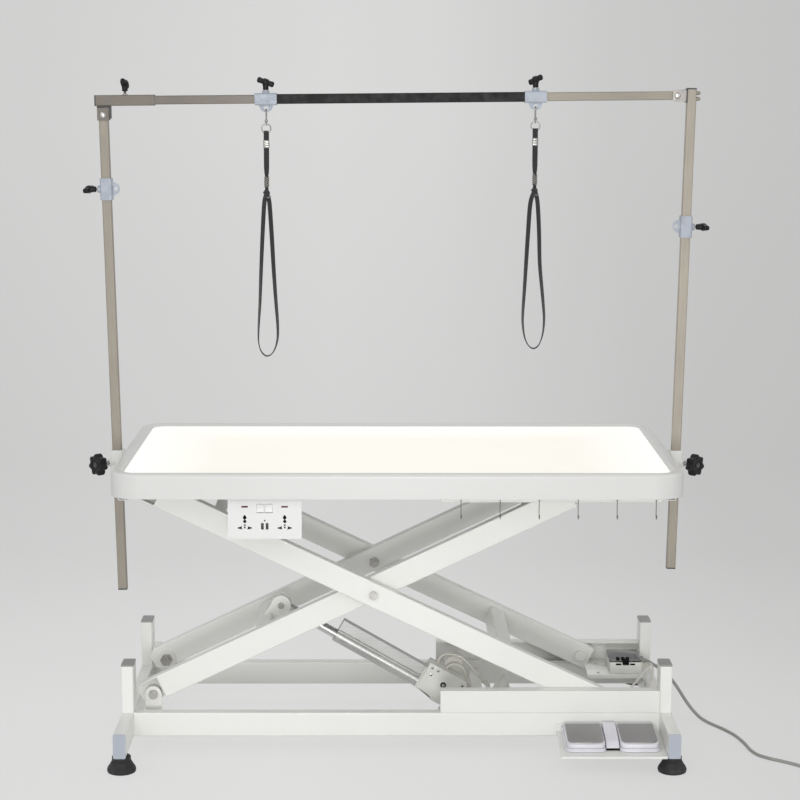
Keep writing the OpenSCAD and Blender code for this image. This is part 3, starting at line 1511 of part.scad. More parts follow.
base_frame();
base_tracks();
tube_end_caps();
lower_pivot_bolts();
actuator_bracket();
foot_front_left();
foot_front_right();
foot_rear_left();
foot_rear_right();
inner_arms();
inner_arm_bolts();
upper_rollers();
outer_arms();
lower_rollers();
actuator_rod();
actuator_tube();
actuator_gear_housing();
actuator_lower_pin();
table_shell();
lit_panel();
table_subframe();
upper_pivot_bolts();
post_sockets();
left_star_knob();
right_star_knob();
socket_plate();
left_rocker();
right_rocker();
socket_lamps();
tool_hooks();
left_post();
left_post_caps();
bar_sleeve();
sleeve_wing_knob();
right_post();
right_post_caps();
crossbar();
bar_grip();
bar_slider_left();
bar_slider_right();
post_slider_left();
post_slider_right();
bar_knob_left();
bar_knob_right();
post_knob_left();
post_knob_right();
noose_clip_left();
noose_strap_left();
noose_clip_right();
noose_strap_right();
pedal_tray();
pedal_housing();
left_pedal();
right_pedal();
control_box();
control_cables();
cord_gland();
power_cord();
cord_coil();
cord_plug();
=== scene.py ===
"""Electric grooming table: finishes, soft pieces and fine parts around the CAD frame."""

import json
from math import copysign, cos, pi, radians, sin, tau

import bmesh
import bpy
from bpy.props import FloatProperty, FloatVectorProperty, IntProperty, PointerProperty
from mathutils import Matrix, Vector


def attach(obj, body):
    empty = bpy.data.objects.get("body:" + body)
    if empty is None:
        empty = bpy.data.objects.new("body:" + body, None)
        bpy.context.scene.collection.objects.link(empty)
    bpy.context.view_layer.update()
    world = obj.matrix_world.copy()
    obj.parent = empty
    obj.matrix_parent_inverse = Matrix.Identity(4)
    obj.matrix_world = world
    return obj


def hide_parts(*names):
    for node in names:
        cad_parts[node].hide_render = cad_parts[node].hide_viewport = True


bl_info = {
    "name": "Grooming Table",
    "version": (1, 0, 0),
    "blender": (4, 5, 0),
    "location": "View3D > Sidebar > Grooming Table",
    "description": "Finishes and fine parts of an electric grooming table on its CAD frame",
    "category": "Object",
}

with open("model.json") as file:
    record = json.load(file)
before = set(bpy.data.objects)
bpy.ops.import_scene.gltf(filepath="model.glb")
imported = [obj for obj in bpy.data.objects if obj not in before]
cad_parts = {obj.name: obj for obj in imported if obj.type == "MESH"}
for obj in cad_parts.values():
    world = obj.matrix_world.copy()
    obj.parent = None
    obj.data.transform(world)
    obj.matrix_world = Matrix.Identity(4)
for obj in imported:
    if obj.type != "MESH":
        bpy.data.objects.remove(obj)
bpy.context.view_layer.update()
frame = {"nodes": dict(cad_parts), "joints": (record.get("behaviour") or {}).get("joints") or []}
nodes = frame["nodes"]
JOINTS = {joint["name"]: joint for joint in frame["joints"]}
MM = Matrix.Scale(0.001, 4)


# Sizes and colours


def colour(label, text, value):
    return FloatVectorProperty(
        name=label, description=text, default=value, subtype="COLOR", size=3, min=0, max=1
    )


def length(label, text, value, low, high):
    return FloatProperty(
        name=label, description=text, default=value, min=low, max=high, unit="LENGTH"
    )


class TableFinishes(bpy.types.PropertyGroup):
    powder_coat: colour("Powder coat", "White paint of the frames and arms", (0.80, 0.80, 0.77))
    rim_white: colour("Rim", "Moulded rim and skirt of the table top", (0.625, 0.625, 0.61))
    panel_glow: colour("Lit panel", "Translucent panel under the animal", (0.80, 0.775, 0.70))
    stainless: colour("Stainless tube", "Brushed posts and crossbar", (0.265, 0.238, 0.198))
    slider_blue: colour("Slider paint", "Grey-blue paint of the clamps", (0.37, 0.405, 0.46))
    black: colour("Black", "Knobs, grip and straps", (0.014, 0.014, 0.016))
    rubber: colour("Rubber", "Levelling feet", (0.018, 0.018, 0.018))
    mains_grey: colour("Mains cord", "Grey jacket of the cord and plug", (0.28, 0.28, 0.265))


class CordSizes(bpy.types.PropertyGroup):
    diameter: length("Cord diameter", "Outside of the mains cord's jacket", 0.007, 0.005, 0.01)
    turns: IntProperty(
        name="Coil turns", description="Turns of the put-away coil", default=5, min=2, max=9
    )
    coil_radius: length("Coil radius", "Radius of the coil's outer turn", 0.051, 0.04, 0.08)


class HookSizes(bpy.types.PropertyGroup):
    wire: length("Wire", "Thickness of the hooks' wire", 0.0016, 0.0008, 0.003)
    pitch: length("Pitch", "Distance from hook to hook", 0.077, 0.02, 0.1)
    count: IntProperty(
        name="Hooks", description="Number of hooks in the row", default=6, min=1, max=12
    )


# Materials


class Shader:
    """A small builder for one principled material with procedural detail."""

    def __init__(self, name, base, rough=0.5, metal=0.0, coat=0.0, specular=0.5):
        self.material = bpy.data.materials.new(name)
        self.material.use_nodes = True
        self.tree = self.material.node_tree
        self.bsdf = self.tree.nodes["Principled BSDF"]
        for socket, value in (("Base Color", (*base, 1)), ("Roughness", rough),
                              ("Metallic", metal), ("Coat Weight", coat),
                              ("Specular IOR Level", specular)):
            self.bsdf.inputs[socket].default_value = value
        self.base = base
        self.coords = self.node("ShaderNodeTexCoord").outputs["Object"]
        self.height = None

    def node(self, kind, **inputs):
        n = self.tree.nodes.new(kind)
        for key, value in inputs.items():
            n.inputs[key.replace("_", " ")].default_value = value
        return n

    def link(self, a, b):
        self.tree.links.new(a, b)

    def stretched(self, scale):
        """Object coordinates, scaled differently along each axis."""
        mapping = self.node("ShaderNodeMapping", Scale=scale)
        self.link(self.coords, mapping.inputs["Vector"])
        return mapping.outputs["Vector"]

    def noise(self, scale, detail=3.0, stretch=(1, 1, 1)):
        n = self.node("ShaderNodeTexNoise", Scale=scale, Detail=detail)
        self.link(self.stretched(stretch), n.inputs["Vector"])
        return n.outputs["Fac"]

    def part_of(self, axis):
        """One of the object coordinates."""
        n = self.node("ShaderNodeSeparateXYZ")
        self.link(self.coords, n.inputs[0])
        return n.outputs[axis]

    def math(self, kind, a, b=0.0):
        """One maths node, where each value is a socket or a number."""
        n = self.node("ShaderNodeMath")
        n.operation = kind
        for socket, value in zip(n.inputs, (a, b)):
            if isinstance(value, float):
                socket.default_value = value
            else:
                self.link(value, socket)
        return n.outputs[0]

    def mix(self, share, first, second):
        """Two shaders, blended by a share."""
        n = self.node("ShaderNodeMixShader")
        for source, socket in zip((share, first.outputs[0], second.outputs[0]), n.inputs):
            self.link(source, socket)
        return n

    def ramp(self, value, low, high, out_low, out_high):
        n = self.node("ShaderNodeMapRange", From_Min=low, From_Max=high, To_Min=out_low,
                      To_Max=out_high)
        self.link(value, n.inputs["Value"])
        return n.outputs["Result"]

    def tint(self, value, other, low=0.35, high=0.65, share=1.0):
        """Blends the base colour towards another one where the value is high."""
        mix = self.node("ShaderNodeMix")
        mix.data_type = "RGBA"
        mix.inputs["A"].default_value = (*self.base, 1)
        mix.inputs["B"].default_value = (*other, 1)
        source = self.bsdf.inputs["Base Color"]
        if source.is_linked:
            self.link(source.links[0].from_socket, mix.inputs["A"])
        self.link(self.ramp(value, low, high, 0, share), mix.inputs["Factor"])
        self.link(mix.outputs["Result"], source)

    def fade(self, value, low, high, dim, bright):
        """Makes the base colour dimmer or brighter along a value, as painted shade and painted
        reflection.
        """
        n = self.node("ShaderNodeVectorMath")
        n.operation = "SCALE"
        source = self.bsdf.inputs["Base Color"]
        self.link(source.links[0].from_socket, n.inputs[0])
        self.link(self.ramp(value, low, high, dim, bright), n.inputs["Scale"])
        self.link(n.outputs["Vector"], source)

    def roughen(self, value, low, high):
        self.link(self.ramp(value, 0.3, 0.7, low, high), self.bsdf.inputs["Roughness"])

    def soften_edges(self, radius):
        """Shades sharp sheet and tube edges as if they were slightly rounded."""
        n = self.node("ShaderNodeBevel", Radius=radius)
        n.samples = 4
        self.height = n.outputs["Normal"]
        self.link(self.height, self.bsdf.inputs["Normal"])

    def bump(self, value, depth, strength=1.0):
        n = self.node("ShaderNodeBump", Strength=strength, Distance=depth)
        self.link(value, n.inputs["Height"])
        if self.height is not None:
            self.link(self.height, n.inputs["Normal"])
        self.height = n.outputs["Normal"]
        self.link(self.height, self.bsdf.inputs["Normal"])

    def surface(self, clouds, polish, grain, share=1.0):
        """Colour clouds, uneven polish and fine grain, each a noise's scale and detail with
        the clouds' factor and limits, the polish's limits, and the grain's depth and strength.
        """
        self.tint(self.noise(*clouds[:2]), shade(self.base, clouds[2]), *clouds[3:], share)
        self.roughen(self.noise(*polish[:2]), *polish[2:])
        self.bump(self.noise(*grain[:2]), *grain[2:])
        return self.material


def shade(colour_, factor):
    return tuple(min(1.0, c * factor) for c in colour_)


def powder_coat(base):
    s = Shader("powder_coat", base, rough=0.33, coat=0.25)
    s.soften_edges(0.0012)
    return s.surface((3.0, 2, 0.93, 0.4, 0.75), (14, 3, 0.28, 0.40), (420, 2, 0.00012, 0.35))


def moulded_white(name, base, rough=0.3):
    s = Shader(name, base, rough)
    return s.surface((2.2, 2, 0.97, 0.3, 0.8), (9, 2, rough, rough + 0.03),
                     (700, 2, 0.00008, 0.25))


PANEL_HALF = (0.535, 0.272)    # half of the lit panel's length and depth
GLOW_BAND = 0.16               # width of the brighter band along its lit edges


def lit_panel(base):
    """A translucent panel that is a little brighter along its left, right and rear edges."""
    s = Shader("lit_panel", base, rough=0.34)
    s.surface((6.0, 2, 0.97, 0.4, 0.7), (60, 3, 0.28, 0.40), (900, 2, 0.0001, 0.3))
    places = (s.math("ABSOLUTE", s.part_of("X")), s.part_of("Y"))
    edge = s.math("MAXIMUM", *(s.ramp(place, half - GLOW_BAND, half, 0, 1)
                               for place, half in zip(places, PANEL_HALF)))
    s.tint(edge, (0.84, 0.83, 0.80), 0, 1)
    s.bsdf.inputs["Emission Color"].default_value = (1.0, 0.97, 0.90, 1)
    s.link(s.ramp(edge, 0, 1, 0.31, 0.39), s.bsdf.inputs["Emission Strength"])
    return s.material


def brushed(name, base, along, rough=0.34, metal=1.0, sides=(1.0, 1.0)):
    """Metal with fine lines along axis 0, 1 or 2. The sides are its painted shade and
    reflection, left and right.
    """
    s = Shader(name, base, rough, metal)
    stretch = [90.0, 90.0, 90.0]
    stretch[along] = 1.5
    lines = s.noise(9.0, 4, tuple(stretch))
    s.tint(lines, shade(base, 1.28), 0.35, 0.75)
    s.roughen(lines, rough - 0.07, rough + 0.12)
    s.tint(s.noise(5, 2), shade(base, 0.85), 0.45, 0.8)
    # painted shade on the left and painted reflection on the right, scaling the colour along X
    s.fade(s.part_of("X"), -0.45, 0.45, *sides)
    s.bump(lines, 0.00006, 0.4)
    return s.material


def cast_metal(name, base, rough=0.32, metal=1.0):
    s = Shader(name, base, rough, metal)
    return s.surface((60, 3, 0.8, 0.45, 0.75), (120, 3, rough - 0.08, rough + 0.12),
                     (900, 2, 0.00008, 0.4))


def satin_plastic(name, base, rough=0.45, specular=0.5):
    s = Shader(name, base, rough, specular=specular)
    return s.surface((18, 3, 0.88, 0.4, 0.75), (45, 3, rough - 0.07, rough + 0.10),
                     (600, 3, 0.00015, 0.5))


def old_rubber(name, base):
    s = Shader(name, base, rough=0.62, specular=0.4)
    return s.surface((40, 4, 2.4, 0.5, 0.85), (70, 3, 0.5, 0.75), (350, 4, 0.0003, 0.6))


def woven_strap(base):
    """Nylon webbing: a fine ribbed weave that follows the strap's own UV map."""
    s = Shader("woven_strap", base, rough=0.7, specular=0.35)
    s.bsdf.inputs["Sheen Weight"].default_value = 0.35
    s.bsdf.inputs["Sheen Roughness"].default_value = 0.5
    s.coords = s.node("ShaderNodeUVMap").outputs["UV"]
    threads = []
    for direction, scale, distortion in (("X", (420, 1, 1), 0.6), ("Y", (1, 300, 1), 0.4)):
        wave = s.node("ShaderNodeTexWave", Scale=1.0, Distortion=distortion, Detail=1.0)
        wave.bands_direction = direction
        s.link(s.stretched(scale), wave.inputs["Vector"])
        threads.append(wave.outputs["Fac"])
    weave = s.math("MULTIPLY", *threads)
    s.tint(weave, shade(base, 3.2), 0.2, 0.9)
    s.bump(weave, 0.0003, 0.8)
    return s.material


def beam_caps(base, grey):
    """End caps: lilac on the beams, plain grey on the stop posts above them."""
    s = Shader("beam_caps", base, rough=0.45)
    s.tint(s.part_of("Z"), grey, 0.105, 0.11)
    return s.surface((18, 3, 0.9, 0.45, 0.8), (45, 3, 0.38, 0.55), (600, 3, 0.00012, 0.5), 0.4)


def glossy_lid(base):
    s = Shader("glossy_lid", base, rough=0.16, coat=0.5)
    return s.surface((9, 3, 1.8, 0.4, 0.8), (35, 4, 0.12, 0.26), (260, 3, 0.00006, 0.4))


def cord_jacket(base):
    s = Shader("cord_jacket", base, rough=0.42)
    return s.surface((25, 3, 0.82, 0.4, 0.75), (60, 3, 0.36, 0.52), (500, 3, 0.0001, 0.4))


def make_materials():
    """One finish per kind of surface, from the colours in the panel."""
    c = bpy.context.scene.table_finishes
    dark = c.black
    return {
        "powder": powder_coat(c.powder_coat),
        "rim": moulded_white("moulded_rim", c.rim_white),
        "panel": lit_panel(c.panel_glow),
        "cap": beam_caps((0.39, 0.42, 0.475), (0.30, 0.30, 0.295)),
        "dark_cap": satin_plastic("post_caps", (0.05, 0.05, 0.055)),
        "zinc": cast_metal("zinc_bolts", (0.44, 0.43, 0.41)),
        # the steel's sides: painted shade on the left, painted reflection on the right
        "post": brushed("post_steel", c.stainless, 2, 0.36, 0.2, (0.92, 1.16)),
        "bar": brushed("bar_steel", c.stainless, 0, 0.36, 0.2, (0.52, 1.02)),
        "rubber": old_rubber("foot_rubber", c.rubber),
        "knob": satin_plastic("knob_plastic", shade(dark, 0.7), 0.42, specular=0.25),
        "grip": old_rubber("bar_grip_rubber", shade(dark, 0.35)),
        "slider": cast_metal("slider_paint", c.slider_blue, 0.4, 0.08),
        "tube": brushed("actuator_tube", (0.44, 0.44, 0.43), 0, 0.36, 0.8),
        "rod": cast_metal("push_rod", (0.60, 0.60, 0.59), 0.22),
        "housing": satin_plastic("gear_housing", (0.72, 0.72, 0.68), 0.42),
        "socket": moulded_white("socket_plate", (0.71, 0.71, 0.705), 0.3),
        "lamp": satin_plastic("lamp_lens", (0.10, 0.012, 0.012), 0.2),
        "wire": cast_metal("hook_wire", (0.22, 0.21, 0.20), 0.4),
        "strap": woven_strap(dark),
        "clip": cast_metal("clip_nickel", (0.38, 0.37, 0.35), 0.28),
        "tread": brushed("pedal_tread", (0.28, 0.275, 0.275), 0, 0.42, 0.2),
        "tread_rim": cast_metal("pedal_tread_rim", (0.42, 0.41, 0.41), 0.3, 0.4),
        "pedal": satin_plastic("pedal_shell", (0.74, 0.73, 0.78), 0.4),
        "lid": glossy_lid((0.030, 0.030, 0.032)),
        "black": satin_plastic("socket_black", (0.006, 0.006, 0.006), 0.5, specular=0.05),
        "port": satin_plastic("charging_port", (0.10, 0.10, 0.10), 0.4),
        # the knobs' top caps: their lighter grey is a painted highlight
        "knob_cap_painted_highlight": satin_plastic("knob_cap_painted_highlight", (0.050, 0.049, 0.048), 0.36),
        "cable": satin_plastic("cream_cable", (0.66, 0.645, 0.59), 0.45),
        "cord": cord_jacket(c.mains_grey),
        "bracket": cast_metal("bracket_plate", (0.42, 0.395, 0.375), 0.4, 0.2),
        "bolt": cast_metal("bracket_bolts", (0.74, 0.73, 0.71), 0.24),
    }


NODE_FINISH = {
    "powder": "base_frame base_tracks actuator_bracket inner_arms outer_arms lower_rollers "
              "table_subframe post_sockets pedal_tray control_box",
    "cap": "tube_end_caps",
    "zinc": "lower_pivot_bolts inner_arm_bolts actuator_lower_pin upper_pivot_bolts",
    "rubber": "foot_front_left foot_front_right foot_rear_left foot_rear_right",
    "housing": "upper_rollers actuator_gear_housing",
    "rod": "actuator_rod", "tube": "actuator_tube", "rim": "table_shell", "panel": "lit_panel",
    "knob": "left_star_knob right_star_knob sleeve_wing_knob bar_knob_left bar_knob_right "
            "post_knob_left post_knob_right",
    "socket": "socket_plate left_rocker right_rocker",
    "lamp": "socket_lamps", "wire": "tool_hooks",
    "post": "left_post right_post", "dark_cap": "left_post_caps right_post_caps",
    "bar": "bar_sleeve crossbar", "grip": "bar_grip",
    "slider": "bar_slider_left bar_slider_right post_slider_left post_slider_right",
    "clip": "noose_clip_left noose_clip_right", "strap": "noose_strap_left noose_strap_right",
    "pedal": "pedal_housing left_pedal right_pedal", "cable": "control_cables",
    "cord": "cord_gland power_cord cord_coil cord_plug",
}
FINISH = {}


# Mesh helpers


def basis(x, z, origin=(0, 0, 0)):
    """A frame with its first and third axes along x and z."""
    z = Vector(z).normalized()
    y = z.cross(Vector(x)).normalized()
    return Matrix.Translation(origin) @ Matrix((y.cross(z), y, z)).transposed().to_4x4()


def at_joint(name, x=(1, 0, 0), z=None):
    """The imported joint's place, in millimetres, with its axis as third axis."""
    joint = JOINTS[name]
    return basis(x, z or joint["axis"], joint["pos_m"]) @ MM


def rounded(points, radii, steps=5):
    """Corner points in the plane, each replaced by a small arc."""
    out = []
    for i, (point, radius) in enumerate(zip(points, radii)):
        p, a, b = Vector(point), Vector(points[i - 1]), Vector(points[(i + 1) % len(points)])
        if radius <= 0:
            out.append(p)
            continue
        start = p + (a - p).normalized() * radius
        end = p + (b - p).normalized() * radius
        for k in range(steps + 1):
            t = k / steps
            out.append(start * (1 - t) ** 2 + p * 2 * t * (1 - t) + end * t * t)
    return out


def box_outline(x0, x1, y0, y1, r):
    return rounded([(x0, y0), (x1, y0), (x1, y1), (x0, y1)], [r] * 4)


def inset(outline, depth):
    """The outline moved inwards, along the corners' halves."""
    out = []
    for i, p in enumerate(outline):
        a = (p - outline[i - 1]).normalized()
        b = (outline[(i + 1) % len(outline)] - p).normalized()
        inward = Vector((-(a.y + b.y), a.x + b.x))
        out.append(p + inward.normalized() * depth if inward.length > 1e-6 else p)
    return out


def circle(radius, z=0.0, sides=24):
    return [Vector((radius * cos(tau * k / sides), radius * sin(tau * k / sides), z))
            for k in range(sides)]


def side_rings(points, shape, closed=False, across=None):
    """Copies of a flat shape along a path; across gives each copy's own first axis."""
    p = [Vector(q) for q in points]
    rings, last = [], None
    for i, q in enumerate(p):
        if closed:
            ahead = (p[(i + 1) % len(p)] - p[i - 1]).normalized()
        else:
            ahead = (p[min(i + 1, len(p) - 1)] - p[max(i - 1, 0)]).normalized()
        side = across[i] if across else last
        if side is None:
            side = Vector((0, 0, 1)) if abs(ahead.z) < 0.9 else Vector((1, 0, 0))
        side = (side - ahead * side.dot(ahead)).normalized()
        last = side
        up = ahead.cross(side)
        form = shape(i) if callable(shape) else shape
        rings.append([q + side * c.x + up * c.y for c in form])
    return rings


def declare(piece, body, replaced):
    """Hangs a piece on the body it rides on, and hides the nodes it stands for."""
    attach(piece, body)
    if replaced:
        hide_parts(*replaced)


class Form:
    """Shapes in one local frame that become one piece."""

    def __init__(self, place):
        self.bm = bmesh.new()
        self.uv = self.bm.loops.layers.uv.new("UVMap")
        self.place = place
        self.finishes = []

    def loft(self, rings, finish, at=None, closed=False):
        """Skins rings that each hold the same number of points, and closes the ends."""
        if finish not in self.finishes:
            self.finishes.append(finish)
        at = at or Matrix()
        rows = [[self.bm.verts.new(at @ Vector(p).to_3d()) for p in ring] for ring in rings]
        n, faces, length = len(rows[0]), [], 0.0
        for a, b in list(zip(rows, rows[1:])) + ([(rows[-1], rows[0])] if closed else []):
            step = (b[0].co - a[0].co).length
            for i in range(n):
                j = (i + 1) % n
                face = self.bm.faces.new((a[i], a[j], b[j], b[i]))
                for loop, u, v in zip(face.loops, (i, i + 1, i + 1, i), (0, 0, step, step)):
                    loop[self.uv].uv = (u / n, length + v)
                faces.append(face)
            length += step
        if not closed:
            faces += [self.bm.faces.new(rows[0][::-1]), self.bm.faces.new(rows[-1])]
        for face in faces:
            face.material_index = self.finishes.index(finish)
            face.smooth = True

    def turned(self, profile, finish, at=None, sides=24):
        """A turned form from pairs of radius and height."""
        self.loft([circle(r, z, sides) for r, z in profile], finish, at)

    def tube(self, points, radius, finish, at=None, sides=10, closed=False):
        shape = (lambda i: circle(radius[i], 0, sides)) if isinstance(radius, list) \
            else circle(radius, 0, sides)
        self.loft(side_rings(points, shape, closed), finish, at, closed)

    def pillows(self, sections, finish, at=None, power=2.8):
        """Soft-cornered sections, each a height, a width and a depth."""
        self.loft([pillow(w, d, z, power) for z, w, d in sections], finish, at)

    def band(self, points, section, across, finish):
        """Webbing along a path."""
        self.loft(side_rings(points, section, False, across), finish)

    def ring(self, big, small, finish, at=None, sides=10):
        self.tube(circle(big, 0, 36), small, finish, at, sides, True)

    def plate(self, outline, low, high, edge, finish, at=None):
        """A flat form with rounded edges between two heights."""
        rows = []
        for depth, z in ((edge, low), (edge * 0.3, low + edge * 0.3), (0, low + edge),
                         (0, high - edge), (edge * 0.3, high - edge * 0.3), (edge, high)):
            rows.append([(p.x, p.y, z) for p in inset(outline, depth)])
        self.loft(rows, finish, at)

    def block(self, low, high, finish, edge=0.6, at=None):
        self.plate(box_outline(low[0], high[0], low[1], high[1], edge), low[2], high[2],
                   edge, finish, at)

    def object(self, name, sharp=38):
        """The shapes as one plain mesh object, in the row frame."""
        self.bm.transform(self.place)
        bmesh.ops.recalc_face_normals(self.bm, faces=self.bm.faces)
        mesh = bpy.data.meshes.new(name)
        self.bm.to_mesh(mesh)
        self.bm.free()
        mesh.set_sharp_from_angle(angle=radians(sharp))
        for finish in self.finishes:
            mesh.materials.append(FINISH[finish])
        piece = bpy.data.objects.new(name, mesh)
        bpy.context.scene.collection.objects.link(piece)
        return piece

    def piece(self, name, body, replaced, slot, sharp=38):
        declare(self.object(name, sharp), body, replaced)


def smooth_route(points, steps):
    """A smooth curve through given points, as part.scad makes it."""
    p = [Vector(q) for q in points]
    out = []
    for i in range(len(p) - 1):
        a, b, c, d = p[max(i - 1, 0)], p[i], p[i + 1], p[min(i + 2, len(p) - 1)]
        for s in range(steps):
            t = s / steps
            out.append(0.5 * (2 * b + (c - a) * t + (2 * a - 5 * b + 4 * c - d) * t * t
                              + (3 * b - a - 3 * c + d) * t * t * t))
    return out + [p[-1]]


# The mains cord: its route repeats the points of part.scad, in metres

GLAND_END = Vector((0.561363, 0.100, 0.105595))
CORD_ROUTE = [
    GLAND_END, (0.574, 0.0986, 0.0986), (0.588, 0.0945, 0.0892), (0.601, 0.087, 0.0776),
    (0.613, 0.0775, 0.0632), (0.624, 0.066, 0.047), (0.635, 0.0525, 0.031),
    (0.647, 0.037, 0.0172), (0.660, 0.018, 0.0072), (0.673, -0.003, 0.0038),
    (0.686, -0.026, 0.0035), (0.701, -0.054, 0.0035), (0.717, -0.094, 0.0035),
    (0.727, -0.143, 0.0035), (0.732, -0.184, 0.0035), (0.741, -0.215, 0.0035),
    (0.760, -0.238, 0.0035), (0.786, -0.2585, 0.0035), (0.812, -0.282, 0.0035),
    (0.834, -0.310, 0.0035), (0.844, -0.340, 0.0035), (0.845, -0.360, 0.0035),
]


def coil_points(sizes, rings=36):
    """One layer winding inwards on the floor and one winding outwards on top of it."""
    pitch = sizes.diameter + 0.0006
    half = sizes.turns / 2
    centre = Vector(CORD_ROUTE[-1]) + Vector((sizes.coil_radius, 0, 0))
    out = []
    for i in range(sizes.turns * rings + 1):
        turn = i / rings
        climb = min(max((turn - half + 0.25) / 0.5, 0), 1)
        r = sizes.coil_radius - pitch * (half - abs(turn - half))
        a = pi + 2 * pi * turn
        out.append(Vector((centre.x + r * cos(a), centre.y + r * sin(a),
                           sizes.diameter / 2 + climb * pitch)))
    end = out[-1]
    tail = [(0, -0.016, -0.0006), (0.004, -0.034, -0.0032), (0.009, -0.052, -0.0062),
            (0.014, -0.068, -pitch)]
    return out + [end + Vector(t) for t in tail]


# Operators


class PieceOperator:
    bl_options = {"REGISTER", "UNDO"}


class TABLE_OT_finishes(PieceOperator, bpy.types.Operator):
    """Gives every CAD node its procedural material"""

    bl_idname = "grooming_table.finishes"
    bl_label = "Finishes of the frame"

    def execute(self, context):
        FINISH.update(make_materials())
        for finish, names in NODE_FINISH.items():
            for name in names.split():
                mesh = nodes[name].data
                mesh.materials.clear()
                mesh.materials.append(FINISH[finish])
        return {"FINISHED"}


class TABLE_OT_mains_cord(PieceOperator, bpy.types.Operator):
    """Lays the mains cord from the control box to its coil on the floor"""

    bl_idname = "grooming_table.mains_cord"
    bl_label = "Mains cord"

    def execute(self, context):
        sizes = context.scene.cord_sizes
        points = smooth_route(CORD_ROUTE, 4)[:-1] + coil_points(sizes)
        data = bpy.data.curves.new("mains_cord", "CURVE")
        data.dimensions = "3D"
        data.bevel_depth = sizes.diameter / 2
        data.bevel_resolution = 5
        data.use_fill_caps = True
        spline = data.splines.new("POLY")
        spline.points.add(len(points) - 1)
        for target, p in zip(spline.points, points):
            target.co = (*p, 1)
        data.materials.append(FINISH["cord"])
        cord = bpy.data.objects.new("mains_cord", data)
        context.scene.collection.objects.link(cord)
        declare(cord, "base", ["power_cord", "cord_coil"])
        return {"FINISHED"}


UPRIGHT = Matrix.Rotation(pi / 2, 4, "X")    # a flat outline stood up to face the front


def moved(x, y, z, angle=0.0, axis="X"):
    """A place, turned by an angle about one of its own axes."""
    return Matrix.Translation((x, y, z)) @ Matrix.Rotation(angle, 4, axis)


def stood(x, y, z):
    """A place whose flat outlines stand up to face the front."""
    return moved(x, y, z) @ UPRIGHT


def webbing(width, thick):
    """Section of flat tubular webbing, a little hollow along its middle."""
    h, t = width / 2, thick / 2
    top = [(h - 0.6 * t, t), (h * 0.45, t), (0, t * 0.7), (-h * 0.45, t), (-h + 0.6 * t, t)]
    return [Vector(p) for p in [(h, 0), *top, (-h, 0), *[(-x, -y) for x, y in top]]]


def pillow(width, depth, z, power=2.8, sides=20):
    """A soft-cornered section at one height."""
    out = []
    for k in range(sides):
        c, s = cos(tau * k / sides), sin(tau * k / sides)
        out.append(Vector((width / 2 * copysign(abs(c) ** (2 / power), c),
                           depth / 2 * copysign(abs(s) ** (2 / power), s), z)))
    return out


# Loops of the two nooses: X and Z below the slider's eye
LOOPS = {
    "left": [(-3, -181), (-5.8, -200), (-9.5, -260), (-13, -330), (-16, -400), (-18.6, -440),
             (-20, -470), (-19.2, -488), (-15, -503), (-8, -511.5), (-1.5, -514), (6, -511),
             (13, -502), (18, -488), (20.8, -470), (20.2, -440), (17.3, -400), (13, -330),
             (9.5, -260), (5.8, -200), (3, -181)],
    "right": [(-3.5, -181), (-8.9, -203), (-12.5, -260), (-15.9, -324), (-18.8, -380),
              (-21.7, -431), (-21.2, -455), (-17.2, -480), (-9, -497), (1.8, -503.3),
              (12.5, -496), (20, -476), (23, -450), (22.4, -426), (18, -380), (12.6, -324),
              (10.4, -260), (7, -203), (3.5, -181)],
}


def noose_fittings(side, place):
    form = Form(place)
    hook = smooth_route([(0, 1.0, -24.5), (0, 5.0, -20), (0, 6.8, -14), (0, 6.7, -8),
                         (0, 4.6, -3.4), (0, 0, -1.8), (0, -4.6, -3.4), (0, -6.7, -8),
                         (0, -6.4, -12.5)], 4)
    form.tube(hook, [1.7] * (len(hook) - 6) + [1.6, 1.5, 1.4, 1.3, 1.1, 0.7], "clip")
    form.tube(smooth_route([(0, -6.0, -13.4), (0, -4.6, -18), (0, -1.2, -24)], 4), 1.15, "clip")
    form.turned([(0.7, -1.6), (1.5, -1.2), (1.8, 0), (1.5, 1.2), (0.7, 1.6)], "clip",
                stood(0, -6.4, -17.6), 12)
    form.turned([(1.2, -22.6), (3.0, -23.4), (3.5, -24.6), (3.5, -26.2), (2.4, -27.0),
                 (2.2, -27.6), (3.1, -28.2), (2.6, -29.4), (1.0, -30)], "clip", None, 16)
    form.ring(2.9, 1.1, "clip", moved(0, 0, -31.6, pi / 2, "Y"))
    form.ring(9.4, 1.3, "clip", stood(0, 0, -41), 12)
    band = [(-81, 11.6, 6.0), (-80.2, 12.8, 7.2), (-76.2, 12.8, 7.2), (-75.4, 12.2, 6.4),
            (-74.6, 12.8, 7.2), (-71.4, 12.8, 7.2), (-70.6, 12.2, 6.4), (-69.8, 12.8, 7.2),
            (-65.8, 12.8, 7.2), (-65, 11.6, 6.0)]
    form.pillows(band, "clip", None, 5)
    for k in range(4):
        wire = [(4.2 * cos(a), 4.2 * sin(a), -140.2 - 20.6 * t / 16) for t, a in
                ((t, tau * (k / 4 - 1.25 * t / 16)) for t in range(17))]
        form.tube(wire, 1.3, "clip", None, 8)
    form.ring(3.2, 0.9, "clip", moved(3.4, -5.0, -180, 1.1, "Y") @ UPRIGHT, 8)
    form.piece(f"noose_fittings_{side}", f"noose_{side}", [f"noose_clip_{side}"], "clip_metal")


